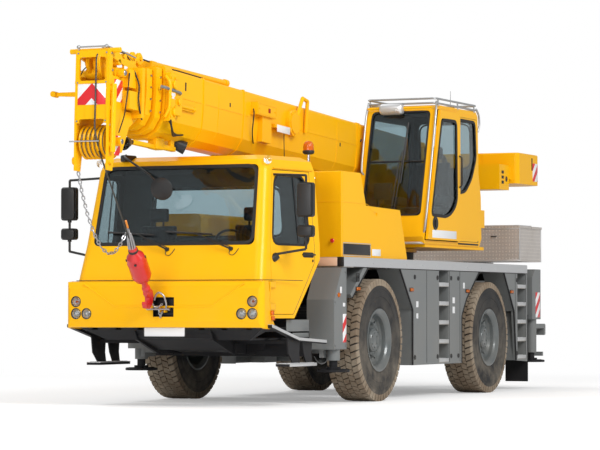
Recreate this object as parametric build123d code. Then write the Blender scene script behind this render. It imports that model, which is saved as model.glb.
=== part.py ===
"""Two-axle all-terrain mobile crane: carrier, slewing superstructure and telescopic boom.

Millimetres. X runs forward, Y to the left, Z up. Sizes are set out from the front axle's
centre line on the ground and the whole is shifted by X_SHIFT when it is written.
"""
import os

from build123d import *

# ---------------------------------------------------------------- sizes
X_SHIFT = 925.0             # puts the middle of the length on the origin
NOSE_X = 4350.0             # front of the boom head
TAIL_X = -6200.0            # back of the rear frame

FRONT_AXLE_X = 0.0
REAR_AXLE_X = -3560.0
HUB_Z = 682.0
TYRE_R = 682.0
TYRE_MID_Y = 1127.0
KINGPIN_Y = 950.0

DECK_TOP = 1595.0
DECK_DEPTH = 110.0
DECK_UNDER = DECK_TOP - DECK_DEPTH
DECK_Y = 1250.0
DECK_FRONT = 883.0
DECK_REAR = -5150.0

SLEW_X = -2600.0
RING_R = 640.0
TURN_Z = 1720.0             # top of the slewing ring

PIVOT = (-4300.0, 2950.0)   # boom foot pin, (x, z)
BOOM_TILT = 2.8             # degrees nose up
BOOM_Z0 = 2990.0            # height of the boom's middle line at x = 0

CAB_CORNER = 100.0          # radius of the driver's cab's front corners

LIFT_FOOT = (-2900.0, 1950.0)
LIFT_EYE = (-100.0, 2545.0)


# ---------------------------------------------------------------- helpers
def block(x0, x1, y0, y1, z0, z1):
    """Box between two corners."""
    size = Box(x1 - x0, y1 - y0, z1 - z0)
    return Pos((x0 + x1) / 2, (y0 + y1) / 2, (z0 + z1) / 2) * size


def face_of(points):
    return make_face(Polyline(*points, close=True))


def side_prism(outline, y0, y1):
    """(x, z) outline, from y0 to y1."""
    face = face_of([(x, y0, z) for x, z in outline])
    return extrude(face, amount=y1 - y0, dir=(0, 1, 0))


def front_prism(outline, x0, x1):
    """(y, z) outline, from x0 to x1."""
    face = face_of([(x0, y, z) for y, z in outline])
    return extrude(face, amount=x1 - x0, dir=(1, 0, 0))


def plan_prism(outline, z0, z1):
    """(x, y) outline, from z0 to z1."""
    face = face_of([(x, y, z0) for x, y in outline])
    return extrude(face, amount=z1 - z0, dir=(0, 0, 1))


def rod(start, end, radius):
    """Round bar between two points."""
    a = Vector(*start)
    b = Vector(*end)
    base = Plane(origin=a, z_dir=b - a)
    return base * extrude(Circle(radius), amount=(b - a).length)


def pipe(start, end, radius, bore):
    return rod(start, end, radius) - rod(start, end, bore)


def square_bar(start, end, width, height):
    """Rectangular bar between two points; width lies across Y."""
    a = Vector(*start)
    b = Vector(*end)
    base = Plane(origin=a, x_dir=(0, 1, 0), z_dir=b - a)
    return base * extrude(Rectangle(width, height), amount=(b - a).length)


def twin(shape):
    """The shape and its mirror image on the other side."""
    return shape + mirror(shape, about=Plane.XZ)


def flip(shape):
    return mirror(shape, about=Plane.XZ)


def rounded(outline, radius):
    """Outline with its corners rounded, as a face in its own plane."""
    face = make_face(Polyline(*outline, close=True))
    return fillet(face.vertices(), radius)


def side_window(outline, radius, y0, y1):
    """Rounded (x, z) opening through y0 to y1."""
    face = Plane.XZ * rounded(outline, radius)
    return Pos(0, y1, 0) * extrude(face, amount=y1 - y0, dir=(0, -1, 0))


def front_window(outline, radius, x0, x1):
    """Rounded (y, z) opening through x0 to x1."""
    face = Plane.YZ * rounded(outline, radius)
    return Pos(x0, 0, 0) * extrude(face, amount=x1 - x0, dir=(1, 0, 0))


def arc_outline(points, radii):
    """Closed (x, y) outline with its own radius at each corner; 0 leaves the corner sharp."""
    face = make_face(Polyline(*points, close=True))
    for (x, y), radius in zip(points, radii):
        if radius:
            corner = [v for v in face.vertices() if abs(v.X - x) + abs(v.Y - y) < 0.01]
            face = fillet(corner, radius)
    return face


def arc_prism(points, radii, y0, y1):
    """(x, z) outline with rounded corners, from y0 to y1."""
    face = Plane.XZ * arc_outline(points, radii)
    return Pos(0, y1, 0) * extrude(face, amount=y1 - y0, dir=(0, -1, 0))


def shell_body(levels, inset=0.0):
    """Ruled stack of outlines; rows are (z, rear x, rear y, front x, front y)."""
    faces = []
    radius = CAB_CORNER - inset
    for z, rear_x, rear_y, front_x, front_y in levels:
        rear_x, rear_y = rear_x + inset, rear_y - inset
        front_x, front_y = front_x - inset, front_y - inset
        points = [(rear_x, rear_y), (front_x, front_y), (front_x, -front_y), (rear_x, -rear_y)]
        faces.append(Pos(0, 0, z) * arc_outline(points, (0, radius, radius, 0)))
    return loft(faces, ruled=True)


def boom_place(shape):
    """From the boom's own frame (x along its middle line) to its place."""
    return Pos(0, 0, BOOM_Z0) * Rot(0, -BOOM_TILT, 0) * shape


nodes = {}

# ================================================================ carrier frame
FRAME_Y = 430.0
frame_outline = [
    (2050, 900), (1450, 900), (900, 1080), (-5450, 1080), (-5450, 620), (-700, 620), (700, 620),
    (1500, 560), (2050, 620),
]
frame = side_prism(frame_outline, -FRAME_Y, FRAME_Y)
frame -= side_prism([(1300, 880), (850, 1060), (-5300, 1060), (-5300, 640), (1300, 600)],
                    -FRAME_Y + 20, FRAME_Y - 20)
for axle_x in (FRONT_AXLE_X, REAR_AXLE_X):
    frame -= side_prism([(axle_x - 260, 600), (axle_x - 200, 900), (axle_x + 200, 900),
                         (axle_x + 260, 600)], -500, 500)
frame += Pos(SLEW_X, 0, 1270) * (Cylinder(600, 400) - Cylinder(560, 400))
frame += block(SLEW_X - 900, SLEW_X + 900, -FRAME_Y, FRAME_Y, 1080, 1110)
# nose under the driver's cab: slanting cheeks and a floor plate
nose_outline = [(2600, 850), (2500, 700), (2050, 560), (1450, 540), (1450, 900), (2050, 900), (2100, 850)]
frame += twin(side_prism(nose_outline, FRAME_Y, FRAME_Y + 30))
frame += side_prism([(2560, 850), (2480, 720), (2020, 590), (2020, 650), (2470, 750), (2530, 850)],
                    -FRAME_Y, FRAME_Y)
# wide underbody below the cab, its sides sloping in to the frame
under = loft([
    face_of([(2600, y, 838) for y in (-1090, 1090)] + [(1465, y, 838) for y in (1090, -1090)]),
    face_of([(2420, y, 700) for y in (-840, 840)] + [(1465, y, 700) for y in (840, -840)]),
], ruled=True)
under -= block(1400, 2380, -1000, 1000, 720, 900)
frame += under
frame += block(1465, 1480, -1100, 1100, 700, 905)
# cross members that carry the deck
for x0 in (760, -1240, -3330, -5150):
    frame += block(x0, x0 + 60, -900, 900, DECK_UNDER - 85, DECK_UNDER)
    frame += block(x0, x0 + 60, -FRAME_Y, FRAME_Y, 1080, DECK_UNDER - 85)
for x0, x1 in ((840, 1120), (-5670, -5390)):
    frame -= block(x0 - 12, x1 + 12, -500, 500, 513, 777)
nodes["chassis_frame"] = frame

# ---------------------------------------------------------------- deck
deck = block(DECK_REAR, DECK_FRONT, -DECK_Y + 40, DECK_Y - 40, DECK_TOP - 30, DECK_TOP)
deck += twin(block(DECK_REAR, DECK_FRONT, DECK_Y - 40, DECK_Y, DECK_UNDER, DECK_TOP))
deck += block(DECK_FRONT - 40, DECK_FRONT, -DECK_Y, DECK_Y, DECK_UNDER, DECK_TOP)
deck += block(DECK_REAR, DECK_REAR + 40, -DECK_Y, DECK_Y, DECK_UNDER, DECK_TOP)
for x0 in (760, -1240, -3330, -5150):
    deck += block(x0, x0 + 60, -900, 900, DECK_UNDER, DECK_TOP - 30)
deck -= Pos(SLEW_X, 0, DECK_TOP) * Cylinder(RING_R + 30, 200)
nodes["deck"] = deck

# ---------------------------------------------------------------- side panels
PANEL_Y = 1225.0
panel_low = 380.0
ARCH_FRONT = REAR_AXLE_X + 800      # edges of the opening round the rear wheel
ARCH_REAR = REAR_AXLE_X - 1095
arch_front = [(190, DECK_UNDER), (390, 1337), (640, 1150), (690, 1190), (430, 1390), (320, DECK_UNDER)]
mid_panel = [
    (-764, DECK_UNDER), (-1158, 1025), (-1158, panel_low), (ARCH_FRONT, panel_low),
    (ARCH_FRONT, 950), (ARCH_FRONT - 160, 1150), (ARCH_FRONT - 410, 1337),
    (ARCH_FRONT - 610, DECK_UNDER),
]
tail_panel = [
    (ARCH_REAR + 376, DECK_UNDER), (ARCH_REAR, 1006), (ARCH_REAR - 77, panel_low),
    (DECK_REAR - 6, 360), (DECK_REAR - 6, DECK_UNDER),
]
panels = side_prism(mid_panel, PANEL_Y - 15, DECK_Y)
panels += side_prism(tail_panel, PANEL_Y - 15, DECK_Y)
panels += side_prism(arch_front, 960, DECK_Y)
# returns that make the arches deep
panels += side_prism([(-764, DECK_UNDER), (-1158, 1025), (-1158, 900), (-1188, 900), (-1188, 1040),
                      (-804, DECK_UNDER)], 960, PANEL_Y - 15)
panels += side_prism([(ARCH_FRONT - 610, DECK_UNDER), (ARCH_FRONT - 410, 1337),
                      (ARCH_FRONT - 160, 1150), (ARCH_FRONT - 140, 1172), (ARCH_FRONT - 390, 1360),
                      (ARCH_FRONT - 560, DECK_UNDER)], 960, PANEL_Y - 15)
panels += side_prism([(ARCH_REAR + 376, DECK_UNDER), (ARCH_REAR, 1006), (ARCH_REAR - 35, 1006),
                      (ARCH_REAR + 335, DECK_UNDER)], 960, PANEL_Y - 15)
# lockers' ends beside the wheels
for x0 in (-1172, ARCH_FRONT, ARCH_REAR - 91):
    panels += block(x0, x0 + 14, 1020, PANEL_Y - 15, panel_low, 985)
for x0, x1 in ((-2320, -2000), (-5100, -4780)):
    panels -= block(x0, x1, 1180, 1260, 395, DECK_UNDER)
    panels += block(x0 - 20, x0, 1020, DECK_Y, panel_low, DECK_UNDER)
    panels += block(x1, x1 + 20, 1020, DECK_Y, panel_low, DECK_UNDER)
    panels += block(x0 - 20, x1 + 20, 1020, 1035, panel_low, DECK_UNDER)
    panels += block(x0 - 20, x1 + 20, 1020, DECK_Y, panel_low, panel_low + 15)
nodes["side_panels"] = twin(panels)

rungs = None
for x0, x1 in ((-2320, -2000), (-5100, -4780)):
    for z in (395, 620, 845, 1070, 1295):
        rung = block(x0, x1, 1035, DECK_Y, z, z + 45)
        rungs = rung if rungs is None else rungs + rung
nodes["deck"] += twin(rungs)

# ---------------------------------------------------------------- boxes beside the frame
boxes = twin(block(-2700, -1250, FRAME_Y, 900, 640, 1060))
nodes["chassis_frame"] += boxes

# ---------------------------------------------------------------- outrigger boxes
BEAM_W = 120.0
BEAM_H = 200.0
BEAM_LOW = 545.0
WALL = 12.0
front_box_x = (840.0, 1120.0)
rear_box_x = (-5670.0, -5390.0)
LANES = {"left": 72.0, "right": 208.0}
JACK_LANE = 140.0
CASE_Y = 915.0
guides = None
for x0, x1 in (front_box_x, rear_box_x):
    low = BEAM_LOW - 20
    high = BEAM_LOW + BEAM_H + 20
    casing = block(x0 - WALL, x1 + WALL, -CASE_Y, CASE_Y, low - WALL, high + WALL)
    for lane in LANES.values():
        mid = x0 + lane
        half = BEAM_W / 2 + 6
        casing -= block(mid - half, mid + half, -1041, 1041, BEAM_LOW - 6, BEAM_LOW + BEAM_H + 6)
        for y_pad in (-CASE_Y, CASE_Y - 100):
            pad_low = block(mid - 50, mid + 50, y_pad, y_pad + 100, BEAM_LOW - 6, BEAM_LOW - 0.3)
            pad_top = block(mid - 50, mid + 50, y_pad, y_pad + 100,
                            BEAM_LOW + BEAM_H + 0.3, BEAM_LOW + BEAM_H + 6)
            casing += pad_low + pad_top
    guides = casing if guides is None else guides + casing
nodes["outrigger_boxes"] = guides

JACK_Y = 1170.0
for end, (x0, x1) in (("front", front_box_x), ("rear", rear_box_x)):
    for side, lane in LANES.items():
        mid = x0 + lane
        beam = block(mid - BEAM_W / 2, mid + BEAM_W / 2, -890, 1080, BEAM_LOW, BEAM_LOW + BEAM_H)
        mid = x0 + JACK_LANE
        beam += block(x0 + 10, x1 - 10, 1060, 1110, 500, 900)
        beam += rod((mid, JACK_Y, 470), (mid, JACK_Y, 972), 72)
        beam -= rod((mid, JACK_Y, 490), (mid, JACK_Y, 960), 56)
        beam -= rod((mid, JACK_Y, 460), (mid, JACK_Y, 500), 46.3)
        jack = rod((mid, JACK_Y, 400), (mid, JACK_Y, 940), 46)
        jack += rod((mid, JACK_Y, 345), (mid, JACK_Y, 372), 175)
        jack += rod((mid, JACK_Y, 372), (mid, JACK_Y, 400), 80)
        if end == "front":
            cover = block(800, 1150, 930, 1250, 590, 1480)
            cover -= block(806, 1144, 925, 1244, 585, 1474)
            cover -= side_prism([(1160, 1490), (1160, 1113), (929, 1490)], 900, 1260)
            cover += side_prism([(1150, 1120), (1150, 1130), (935, 1480), (925, 1474),
                                 (1141, 1120)], 930, 1250)
            beam += cover
            beam += block(804, x0 + 10, 1080, 1100, 700, 800)
            beam += block(x1 - 10, 1146, 1080, 1100, 700, 800)
        else:
            cover = block(-5690, -5360, 930, 1250, 900, 1550)
            cover -= block(-5684, -5366, 925, 1244, 895, 1544)
            cover -= side_prism([(-5350, 1560), (-5350, 1440), (-5480, 1560)], 900, 1260)
            cover += side_prism([(-5360, 1425), (-5360, 1440), (-5476, 1550), (-5484, 1544),
                                 (-5369, 1425)], 930, 1250)
            beam += cover
            beam += block(-5688, x0 + 10, 1080, 1100, 880, 960)
            beam += block(x1 - 10, -5362, 1080, 1100, 880, 960)
            beam += block(x0 + 10, x1 - 10, 1080, 1100, 880, 960)
        if side == "right":
            beam = flip(beam)
            jack = flip(jack)
        nodes["beam_" + end + "_" + side] = beam
        nodes["jack_" + end + "_" + side] = jack

# ================================================================ axles, knuckles, wheels
LUG_Z = 150.0
axles = None
for axle_x in (FRONT_AXLE_X, REAR_AXLE_X):
    axle = rod((axle_x, -860, HUB_Z), (axle_x, 860, HUB_Z), 85)
    axle += rod((axle_x, -190, HUB_Z), (axle_x, 190, HUB_Z), 190)
    axle += block(axle_x - 60, axle_x + 60, -FRAME_Y, FRAME_Y, 860, 900)
    for s in (-1, 1):
        axle += block(axle_x - 60, axle_x + 60, min(s * 820, s * 880), max(s * 820, s * 880),
                      HUB_Z - LUG_Z - 35, HUB_Z + LUG_Z + 35)
        for z in (-1, 1):
            z_mid = HUB_Z + z * (LUG_Z + 17.5)
            axle += rod((axle_x, s * KINGPIN_Y, z_mid - 17.5), (axle_x, s * KINGPIN_Y, z_mid + 17.5),
                        60)
            axle += block(axle_x - 60, axle_x + 60, min(s * 860, s * 950), max(s * 860, s * 950),
                          z_mid - 17.5, z_mid + 17.5)
        axle += block(axle_x - 40, axle_x + 40, min(s * 280, s * 360), max(s * 280, s * 360),
                      HUB_Z, 900)
    axles = axle if axles is None else axles + axle
nodes["axles"] = axles

TYRE_HALF = [
    # radius, half width
    (318, 150), (345, 168), (420, 186), (520, 192), (615, 190), (662, 178), (TYRE_R, 140),
]
tyre_outline = [(0, w, r) for r, w in TYRE_HALF]
tyre_outline += [(0, -w, r) for r, w in reversed(TYRE_HALF)]
tyre = revolve(face_of(tyre_outline), Axis.Y)

rim_profile = [
    (0, 184, 352), (0, 184, 336), (0, 158, 300), (0, 138, 284), (0, 96, 276), (0, 66, 262),
    (0, 50, 225), (0, 44, 160), (0, 60, 140), (0, 112, 130), (0, 122, 118), (0, 122, 0),
    (0, -10, 0), (0, -10, 150), (0, 20, 225), (0, 40, 280), (0, -150, 290), (0, -185, 335),
    (0, -184, 352), (0, -173, 352), (0, -168.3, 345), (0, -150.3, 317.7), (0, 150.3, 317.7),
    (0, 168.3, 345), (0, 173, 352),
]
rim = revolve(face_of(rim_profile), Axis.Y)
# hand holes round the disc
for k in range(10):
    rim -= Rot(0, 36 * k, 0) * rod((0, 0, 246), (0, 80, 246), 15)

knuckle = rod((0, 0, -LUG_Z + 0.3), (0, 0, LUG_Z - 0.3), 55)
knuckle += rod((0, 0, 0), (0, TYRE_MID_Y - KINGPIN_Y - 10.3, 0), 48)
knuckle += rod((0, 40, 0), (0, 90, 0), 150)
knuckle -= block(-200, 200, -200, -60, -300, 300)

for end, axle_x in (("front", FRONT_AXLE_X), ("rear", REAR_AXLE_X)):
    for side in ("left", "right"):
        tag = "_" + end + "_" + side
        hub = Pos(axle_x, TYRE_MID_Y, HUB_Z)
        pieces = {
            "tyre": hub * tyre,
            "rim": hub * rim,
            "knuckle": Pos(axle_x, KINGPIN_Y, HUB_Z) * knuckle,
        }
        for name, shape in pieces.items():
            nodes[name + tag] = shape if side == "left" else flip(shape)

# ================================================================ driver's cab
CAB_LEVELS = [
    # z, rear x, rear y, front x, front y
    (930, 1450, 1222, 2665, 1085),
    (1320, 1450, 1222, 2650, 1085),
    (1710, 1450, 1215, 2530, 1045),
    (2500, 1450, 1150, 2340, 985),
    (2600, 1465, 1115, 2300, 955),
    (2648, 1530, 1020, 2215, 870),
]
CAB_INNER = [
    (965, 1450, 1222, 2665, 1085),
    (1320, 1450, 1222, 2650, 1085),
    (1710, 1450, 1215, 2530, 1045),
    (2500, 1450, 1150, 2340, 985),
    (2602, 1480, 1090, 2280, 935),
]
cab_rear_cut = [(2002, 920), (1430, 1580), (1430, 920)]
cab_rear_cut_in = [(2062, 920), (1430, 1650), (1430, 920)]
DOOR = [(1560, 1530), (2016, 975), (2510, 975), (2395, 1700), (2222, 2485), (1560, 2485)]
DOOR_HOLE = [(1554, 1528), (2013, 969), (2516, 969), (2401, 1702), (2228, 2491), (1554, 2491)]
DOOR_PIN = (2535.0, 1125.0)
HINGE_ZS = (1020.0, 1250.0)
LEAF = [(2380, 1098), (2440, 1116), (2535, 1116), (2535, 1136), (2430, 1136), (2380, 1122)]
DOOR_GLASS = [(1660, 1716), (2342, 1716), (2185, 2425), (1660, 2425)]
SCREEN = [(-945, 1695), (945, 1695), (905, 2545), (-905, 2545)]

cab_outer = shell_body(CAB_LEVELS) - side_prism(cab_rear_cut, -1400, 1400)
cab_inner = shell_body(CAB_INNER, 45) - side_prism(cab_rear_cut_in, -1400, 1400)
cab_wall = cab_outer - cab_inner

screen_hole = front_window(SCREEN, 60, 2100, 2800)
rear_hole = front_window([(-800, 1800), (800, 1800), (760, 2350), (-760, 2350)], 60, 1400, 1530)
door_glass_hole = side_window(DOOR_GLASS, 50, 700, 1400)

cab = cab_wall - screen_hole - rear_hole
cab -= twin(side_prism(DOOR_HOLE, 700, 1400))
hinge_post = None
hinge_leaf = None
for z in HINGE_ZS:
    post = rod((*DOOR_PIN, z - 40), (*DOOR_PIN, z - 0.3), 14)
    post += block(DOOR_PIN[0] - 10, DOOR_PIN[0] + 10, 1080, DOOR_PIN[1], z - 40, z - 0.3)
    leaf = rod((*DOOR_PIN, z), (*DOOR_PIN, z + 60), 14)
    leaf += plan_prism(LEAF, z, z + 60)
    hinge_post = post if hinge_post is None else hinge_post + post
    hinge_leaf = leaf if hinge_leaf is None else hinge_leaf + leaf
cab += twin(hinge_post)
nodes["cab_shell"] = cab

door = (cab_wall & side_prism(DOOR, 700, 1400)) - door_glass_hole
door += hinge_leaf
# flat pane between the cab's third and fourth levels; the body's side there is nearly flat
_, rear_x, rear_y, front_x, front_y = CAB_LEVELS[2]
along = Vector(front_x - rear_x, front_y - rear_y, 0)
upward = Vector(0, CAB_LEVELS[3][2] - 13 - rear_y, CAB_LEVELS[3][0] - CAB_LEVELS[2][0])
side_plane = Plane(origin=(rear_x, rear_y, CAB_LEVELS[2][0]), x_dir=along, z_dir=upward.cross(along))
door_glass = (side_plane * Pos(0, 0, -14) * Box(3000, 3000, 6)) & door_glass_hole
nodes["door_left"] = door
nodes["door_right"] = flip(door)
nodes["door_glass_left"] = door_glass
nodes["door_glass_right"] = flip(door_glass)

screen_slope = (2530 - 2340) / (2500 - 1710)
screen_low = 2530 + 30 * screen_slope
screen_top = 2340 - 60 * screen_slope
screen = side_prism([(screen_low - 14, 1680), (screen_top - 14, 2560), (screen_top - 20, 2560),
                     (screen_low - 20, 1680)], -1000, 1000) & screen_hole
rear_pane = block(1460, 1466, -900, 900, 1700, 2450) & rear_hole
nodes["cab_glass"] = screen + rear_pane

# ---------------------------------------------------------------- front panel and bumper
BUMPER_Y = 1150.0
BUMPER_X = 2760.0
bumper_outline = [
    (2752, 838), (BUMPER_X, 900), (BUMPER_X, 1240), (2738, 1312), (2620, 1322), (2580, 985),
    (2556, 962), (2430, 815), (2690, 822),
]
bumper = side_prism(bumper_outline, -BUMPER_Y, BUMPER_Y)
bumper = fillet(bumper.edges().filter_by(Axis.Z).sort_by(Axis.X)[-2:], 60)
bumper -= side_prism([(2728, 700), (2728, 1255), (2708, 1294), (2300, 1294), (2300, 700)],
                     -BUMPER_Y + 30, BUMPER_Y - 30)
bumper -= cab_outer
# sunk middle field, tow recess with its hood, and the lamps' pockets
bumper -= front_prism([(-935, 1296), (935, 1296), (560, 1050), (-560, 1050)], BUMPER_X - 9, 2800)
bumper -= block(2700, 2800, -115, 125, 945, 1150)
tow = block(2700, 2712, -127, 137, 935, 1160) + twin(block(2712, 2745, 126, 137, 935, 1160))
tow += block(2712, 2745, -127, 137, 1150, 1160) + block(2712, 2745, -127, 137, 935, 945)
tow += twin(block(2712, 2780, 20, 34, 990, 1060)) + rod((2762, -50, 1025), (2762, 50, 1025), 12)
bumper += tow - side_prism([(2760, 900), (2800, 900), (2800, 1200), (2760, 1200)], -15, 15)
LAMPS = [(1030, 1105), (1030, 978), (905, 978)]
LAMP_R = 52.0
lamps = None
for y, z in LAMPS:
    bumper -= twin(rod((BUMPER_X - 24, y, z), (2800, y, z), LAMP_R + 6))
    bumper -= twin(rod((2700, y, z), (BUMPER_X, y, z), LAMP_R - 15.7))
    bumper += twin(pipe((BUMPER_X - 26, y, z), (BUMPER_X - 4, y, z), LAMP_R + 6, LAMP_R))
    lens = rod((BUMPER_X - 24, y, z), (BUMPER_X - 6, y, z), LAMP_R - 0.3)
    lens = fillet(lens.edges().sort_by(Axis.X)[-1], 12)
    lens += rod((2706, y, z), (BUMPER_X - 24, y, z), LAMP_R - 16)
    pair = twin(lens)
    lamps = pair if lamps is None else lamps + pair
nodes["front_bumper"] = bumper
nodes["front_lamps"] = lamps

# ---------------------------------------------------------------- inside the driver's cab
inside = block(2250, 2480, -900, 900, 965, 1600)
inside += twin(block(1780, 2180, 330, 800, 1290, 1400)) + twin(block(1680, 1780, 330, 800, 1400, 1950))
inside += twin(block(1700, 1760, 440, 690, 1950, 2130))
inside += twin(block(2060, 2160, 420, 710, 965, 1290))
inside += rod((2300, 560, 1590), (2185, 560, 1688), 25)
wheel_place = Pos(2180, 560, 1690) * Rot(0, -50, 0)
inside += wheel_place * (Cylinder(215, 25) - Cylinder(187, 26))
inside += wheel_place * Box(40, 380, 20)
nodes["cab_interior"] = inside

# ---------------------------------------------------------------- cab steps
steps = twin(side_prism([(2640, 862), (2640, 832), (1959, 688), (1232, 652), (1232, 690),
                         (1959, 722), (2560, 862)], 1150.3, 1200))
LEG_1 = [(2180, 735), (2150, 560), (2030, 450), (1850, 450), (1875, 560), (1860, 690)]
LEG_2 = [(1810, 720), (1760, 560), (1690, 450), (1530, 450), (1555, 560), (1540, 690)]
for leg in (LEG_1, LEG_2):
    steps += twin(side_prism(leg, 1150.3, 1165))
steps += twin(block(1500, 2200, 1040, 1200, 425, 450))
for x0 in (1640, 1960):
    steps += twin(block(x0, x0 + 40, FRAME_Y + 30, 1160, 660, 695))
    steps += twin(block(x0, x0 + 40, FRAME_Y, FRAME_Y + 40, 540, 695))
nodes["chassis_frame"] += steps

# ---------------------------------------------------------------- mirrors on the doors
mirror_body = block(2200, 2260, 1310, 1490, 1985, 2345) + block(2200, 2260, 1310, 1490, 1775, 1900)
mirror_body = fillet(mirror_body.edges().filter_by(Axis.X), 30)
mirror_body += rod((2230, 1400, 1650), (2230, 1400, 2420), 13)
mirror_body += rod((2230, 1400, 2420), (2200, 985, 2440), 13)
mirror_body += rod((2230, 1400, 1650), (2350, 1058, 1590), 13)
mirror_body -= cab_outer
nodes["mirror_left"] = mirror_body
nodes["mirror_right"] = flip(mirror_body)

# ---------------------------------------------------------------- engine under its hood
HOOD_IN = 500.0
HOOD_OUT = 1200.0
hood_outline = [
    (836, 1595), (836, 2538), (280, 2538), (127, 2180), (-890, 2165), (-890, 1595),
]
hood = side_prism(hood_outline, HOOD_IN, HOOD_OUT)
hood -= side_prism([(816, 1590), (816, 2518), (293, 2518), (140, 2160), (-870, 2145), (-870, 1590)],
                   HOOD_IN + 20, HOOD_OUT - 20)
hood = fillet(hood.edges().filter_by(Axis.Y).sort_by(Axis.Z)[-2:], 14)
# wedge that covers the pipes behind the hood, clear of the upper works
hood += side_prism([(-890, 1600), (-890, 2160), (-1100, 1625), (-1100, 1600)], 1080, HOOD_OUT)
# emergency stop box and handle recesses
hood += block(836, 862, 640, 720, 1730, 1800)
hood += rod((862, 680, 1765), (885, 680, 1765), 20)
hood -= twin(block(-200, -80, HOOD_OUT - 8, HOOD_OUT + 8, 2080, 2110))
nodes["engine_hood"] = hood
nodes["engine_block"] = block(-700, 700, HOOD_IN + 60, HOOD_OUT - 60, DECK_TOP, 2060)
tank_outline = [(836, 1600), (836, 2100), (-890, 2100), (-890, 1600)]
tank = side_prism(tank_outline, -HOOD_OUT, -HOOD_IN)
tank = fillet(tank.edges().filter_by(Axis.X), 60)
nodes["hydraulic_tank"] = Pos(0, 0, -5) * tank

# ---------------------------------------------------------------- toolbox at the tail
LID_PIN_X = -5580.0
LID_PIN_Z = 2110.0
tool = block(-6000, -5150, -1150, 1150, 1650, 2080) - block(-5980, -5170, -1130, 1130, 1670, 2090)
tool += block(-5700, -5160, -370, 370, 1600, 1650)
tool += block(-6010, LID_PIN_X - 20, -1160, 1160, 2080, 2110)
nodes["toolbox"] = tool
lid = block(LID_PIN_X, -5140, -1160, 1160, 2080.3, 2110)
lid += rod((LID_PIN_X, -1160, LID_PIN_Z), (LID_PIN_X, 1160, LID_PIN_Z), 12)
nodes["toolbox_lid"] = lid

# ---------------------------------------------------------------- rear frame, lamps, flaps
rear = block(-6150, -6110, -1150, 1150, 690, 840)
rear += twin(block(-6150, -5150, 380, 430, 1080, 1650))
rear += twin(block(-6150, -5682, 380, 430, 600, 1080))
rear += block(-6150, -6100, -430, 430, 1080, 1130)
rear += twin(block(-6200, -6150, 800, 1140, 695, 833))
rear += block(-6165, -6115, -1120, 1120, 415, 470) + twin(block(-6150, -6115, 600, 650, 470, 690))
rear += twin(block(-6110, -5720, 1120, 1150, 780, 840))
nodes["rear_frame"] = rear
flaps = twin(block(-5200, -5185, 940, 1245, 100, 900)) + twin(block(-5215, -5175, FRAME_Y, 1245, 900, 960))
nodes["chassis_frame"] += flaps

# ================================================================ superstructure
nodes["slewing_ring"] = Pos(SLEW_X, 0, (DECK_TOP + TURN_Z) / 2 - 62.5) * (
    Cylinder(RING_R, TURN_Z - 1470) - Cylinder(RING_R - 110, TURN_Z - 1470))

turn = Pos(SLEW_X, 0, TURN_Z + 20.3) * Cylinder(RING_R + 40, 40)
CHEEK_IN = 300.0
CHEEK_OUT = 330.0
cheek = [
    (-1950, 1760), (-1950, 1900), (-2400, 2250), (-3700, 3040), (-4200, 3110), (-4420, 3060),
    (-4480, 2900), (-5000, 2820), (-5000, 2560), (-4660, 2540), (-4520, 2300), (-3500, 2240),
    (-3250, 1760),
]
turn += twin(side_prism(cheek, CHEEK_IN, CHEEK_OUT))
turn += block(-3200, -2000, -CHEEK_IN, CHEEK_IN, 1760, 1800)
turn += side_prism([(-3500, 2240), (-4520, 2300), (-4520, 2325), (-3480, 2265)], -CHEEK_IN, CHEEK_IN)
turn += twin(rod((LIFT_FOOT[0], 130, LIFT_FOOT[1]), (LIFT_FOOT[0], CHEEK_IN, LIFT_FOOT[1]), 60))
turn += twin(block(-3000, -2800, 105, 135, 1800, 2030))
# carriers for the operator's cab
turn += block(-3700, -1700, CHEEK_OUT, 1190, 1760, 1800)
turn += block(-4995, -4660, -CHEEK_IN, CHEEK_IN, 2560, 2590)
turn += block(-4920, -4560, CHEEK_OUT, 1090, 2560, 2880)
turn += block(-5000, -4920, CHEEK_OUT, 1090, 2700, 2860)
turn += block(-4860, -4560, -1050, -CHEEK_OUT, 2560, 2780)
turn += rod((PIVOT[0], -CHEEK_OUT - 15, PIVOT[1]), (PIVOT[0], CHEEK_OUT + 15, PIVOT[1]), 45)
nodes["turntable"] = turn

weight_outline = [
    (-5000, -1190), (-5000, 1190), (-5780, 1190), (-5900, 1000), (-5900, -1000), (-5780, -1190),
]
weight = plan_prism(weight_outline, 2650, 3050)
weight = fillet(weight.edges().filter_by(Axis.Z), 60)
weight = fillet(weight.faces().sort_by(Axis.Z)[-1].edges(), 18)
weight -= block(-5010, -4900, -700, 700, 2900, 3060)
nodes["counterweight"] = weight

winch = rod((-4760, -210, 2830), (-4760, 210, 2830), 150)
winch += rod((-4760, -240, 2830), (-4760, -210, 2830), 200) + rod((-4760, 210, 2830), (-4760, 240, 2830), 200)
winch += rod((-4760, -300, 2830), (-4760, 300, 2830), 80)
nodes["winch"] = winch

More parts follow.
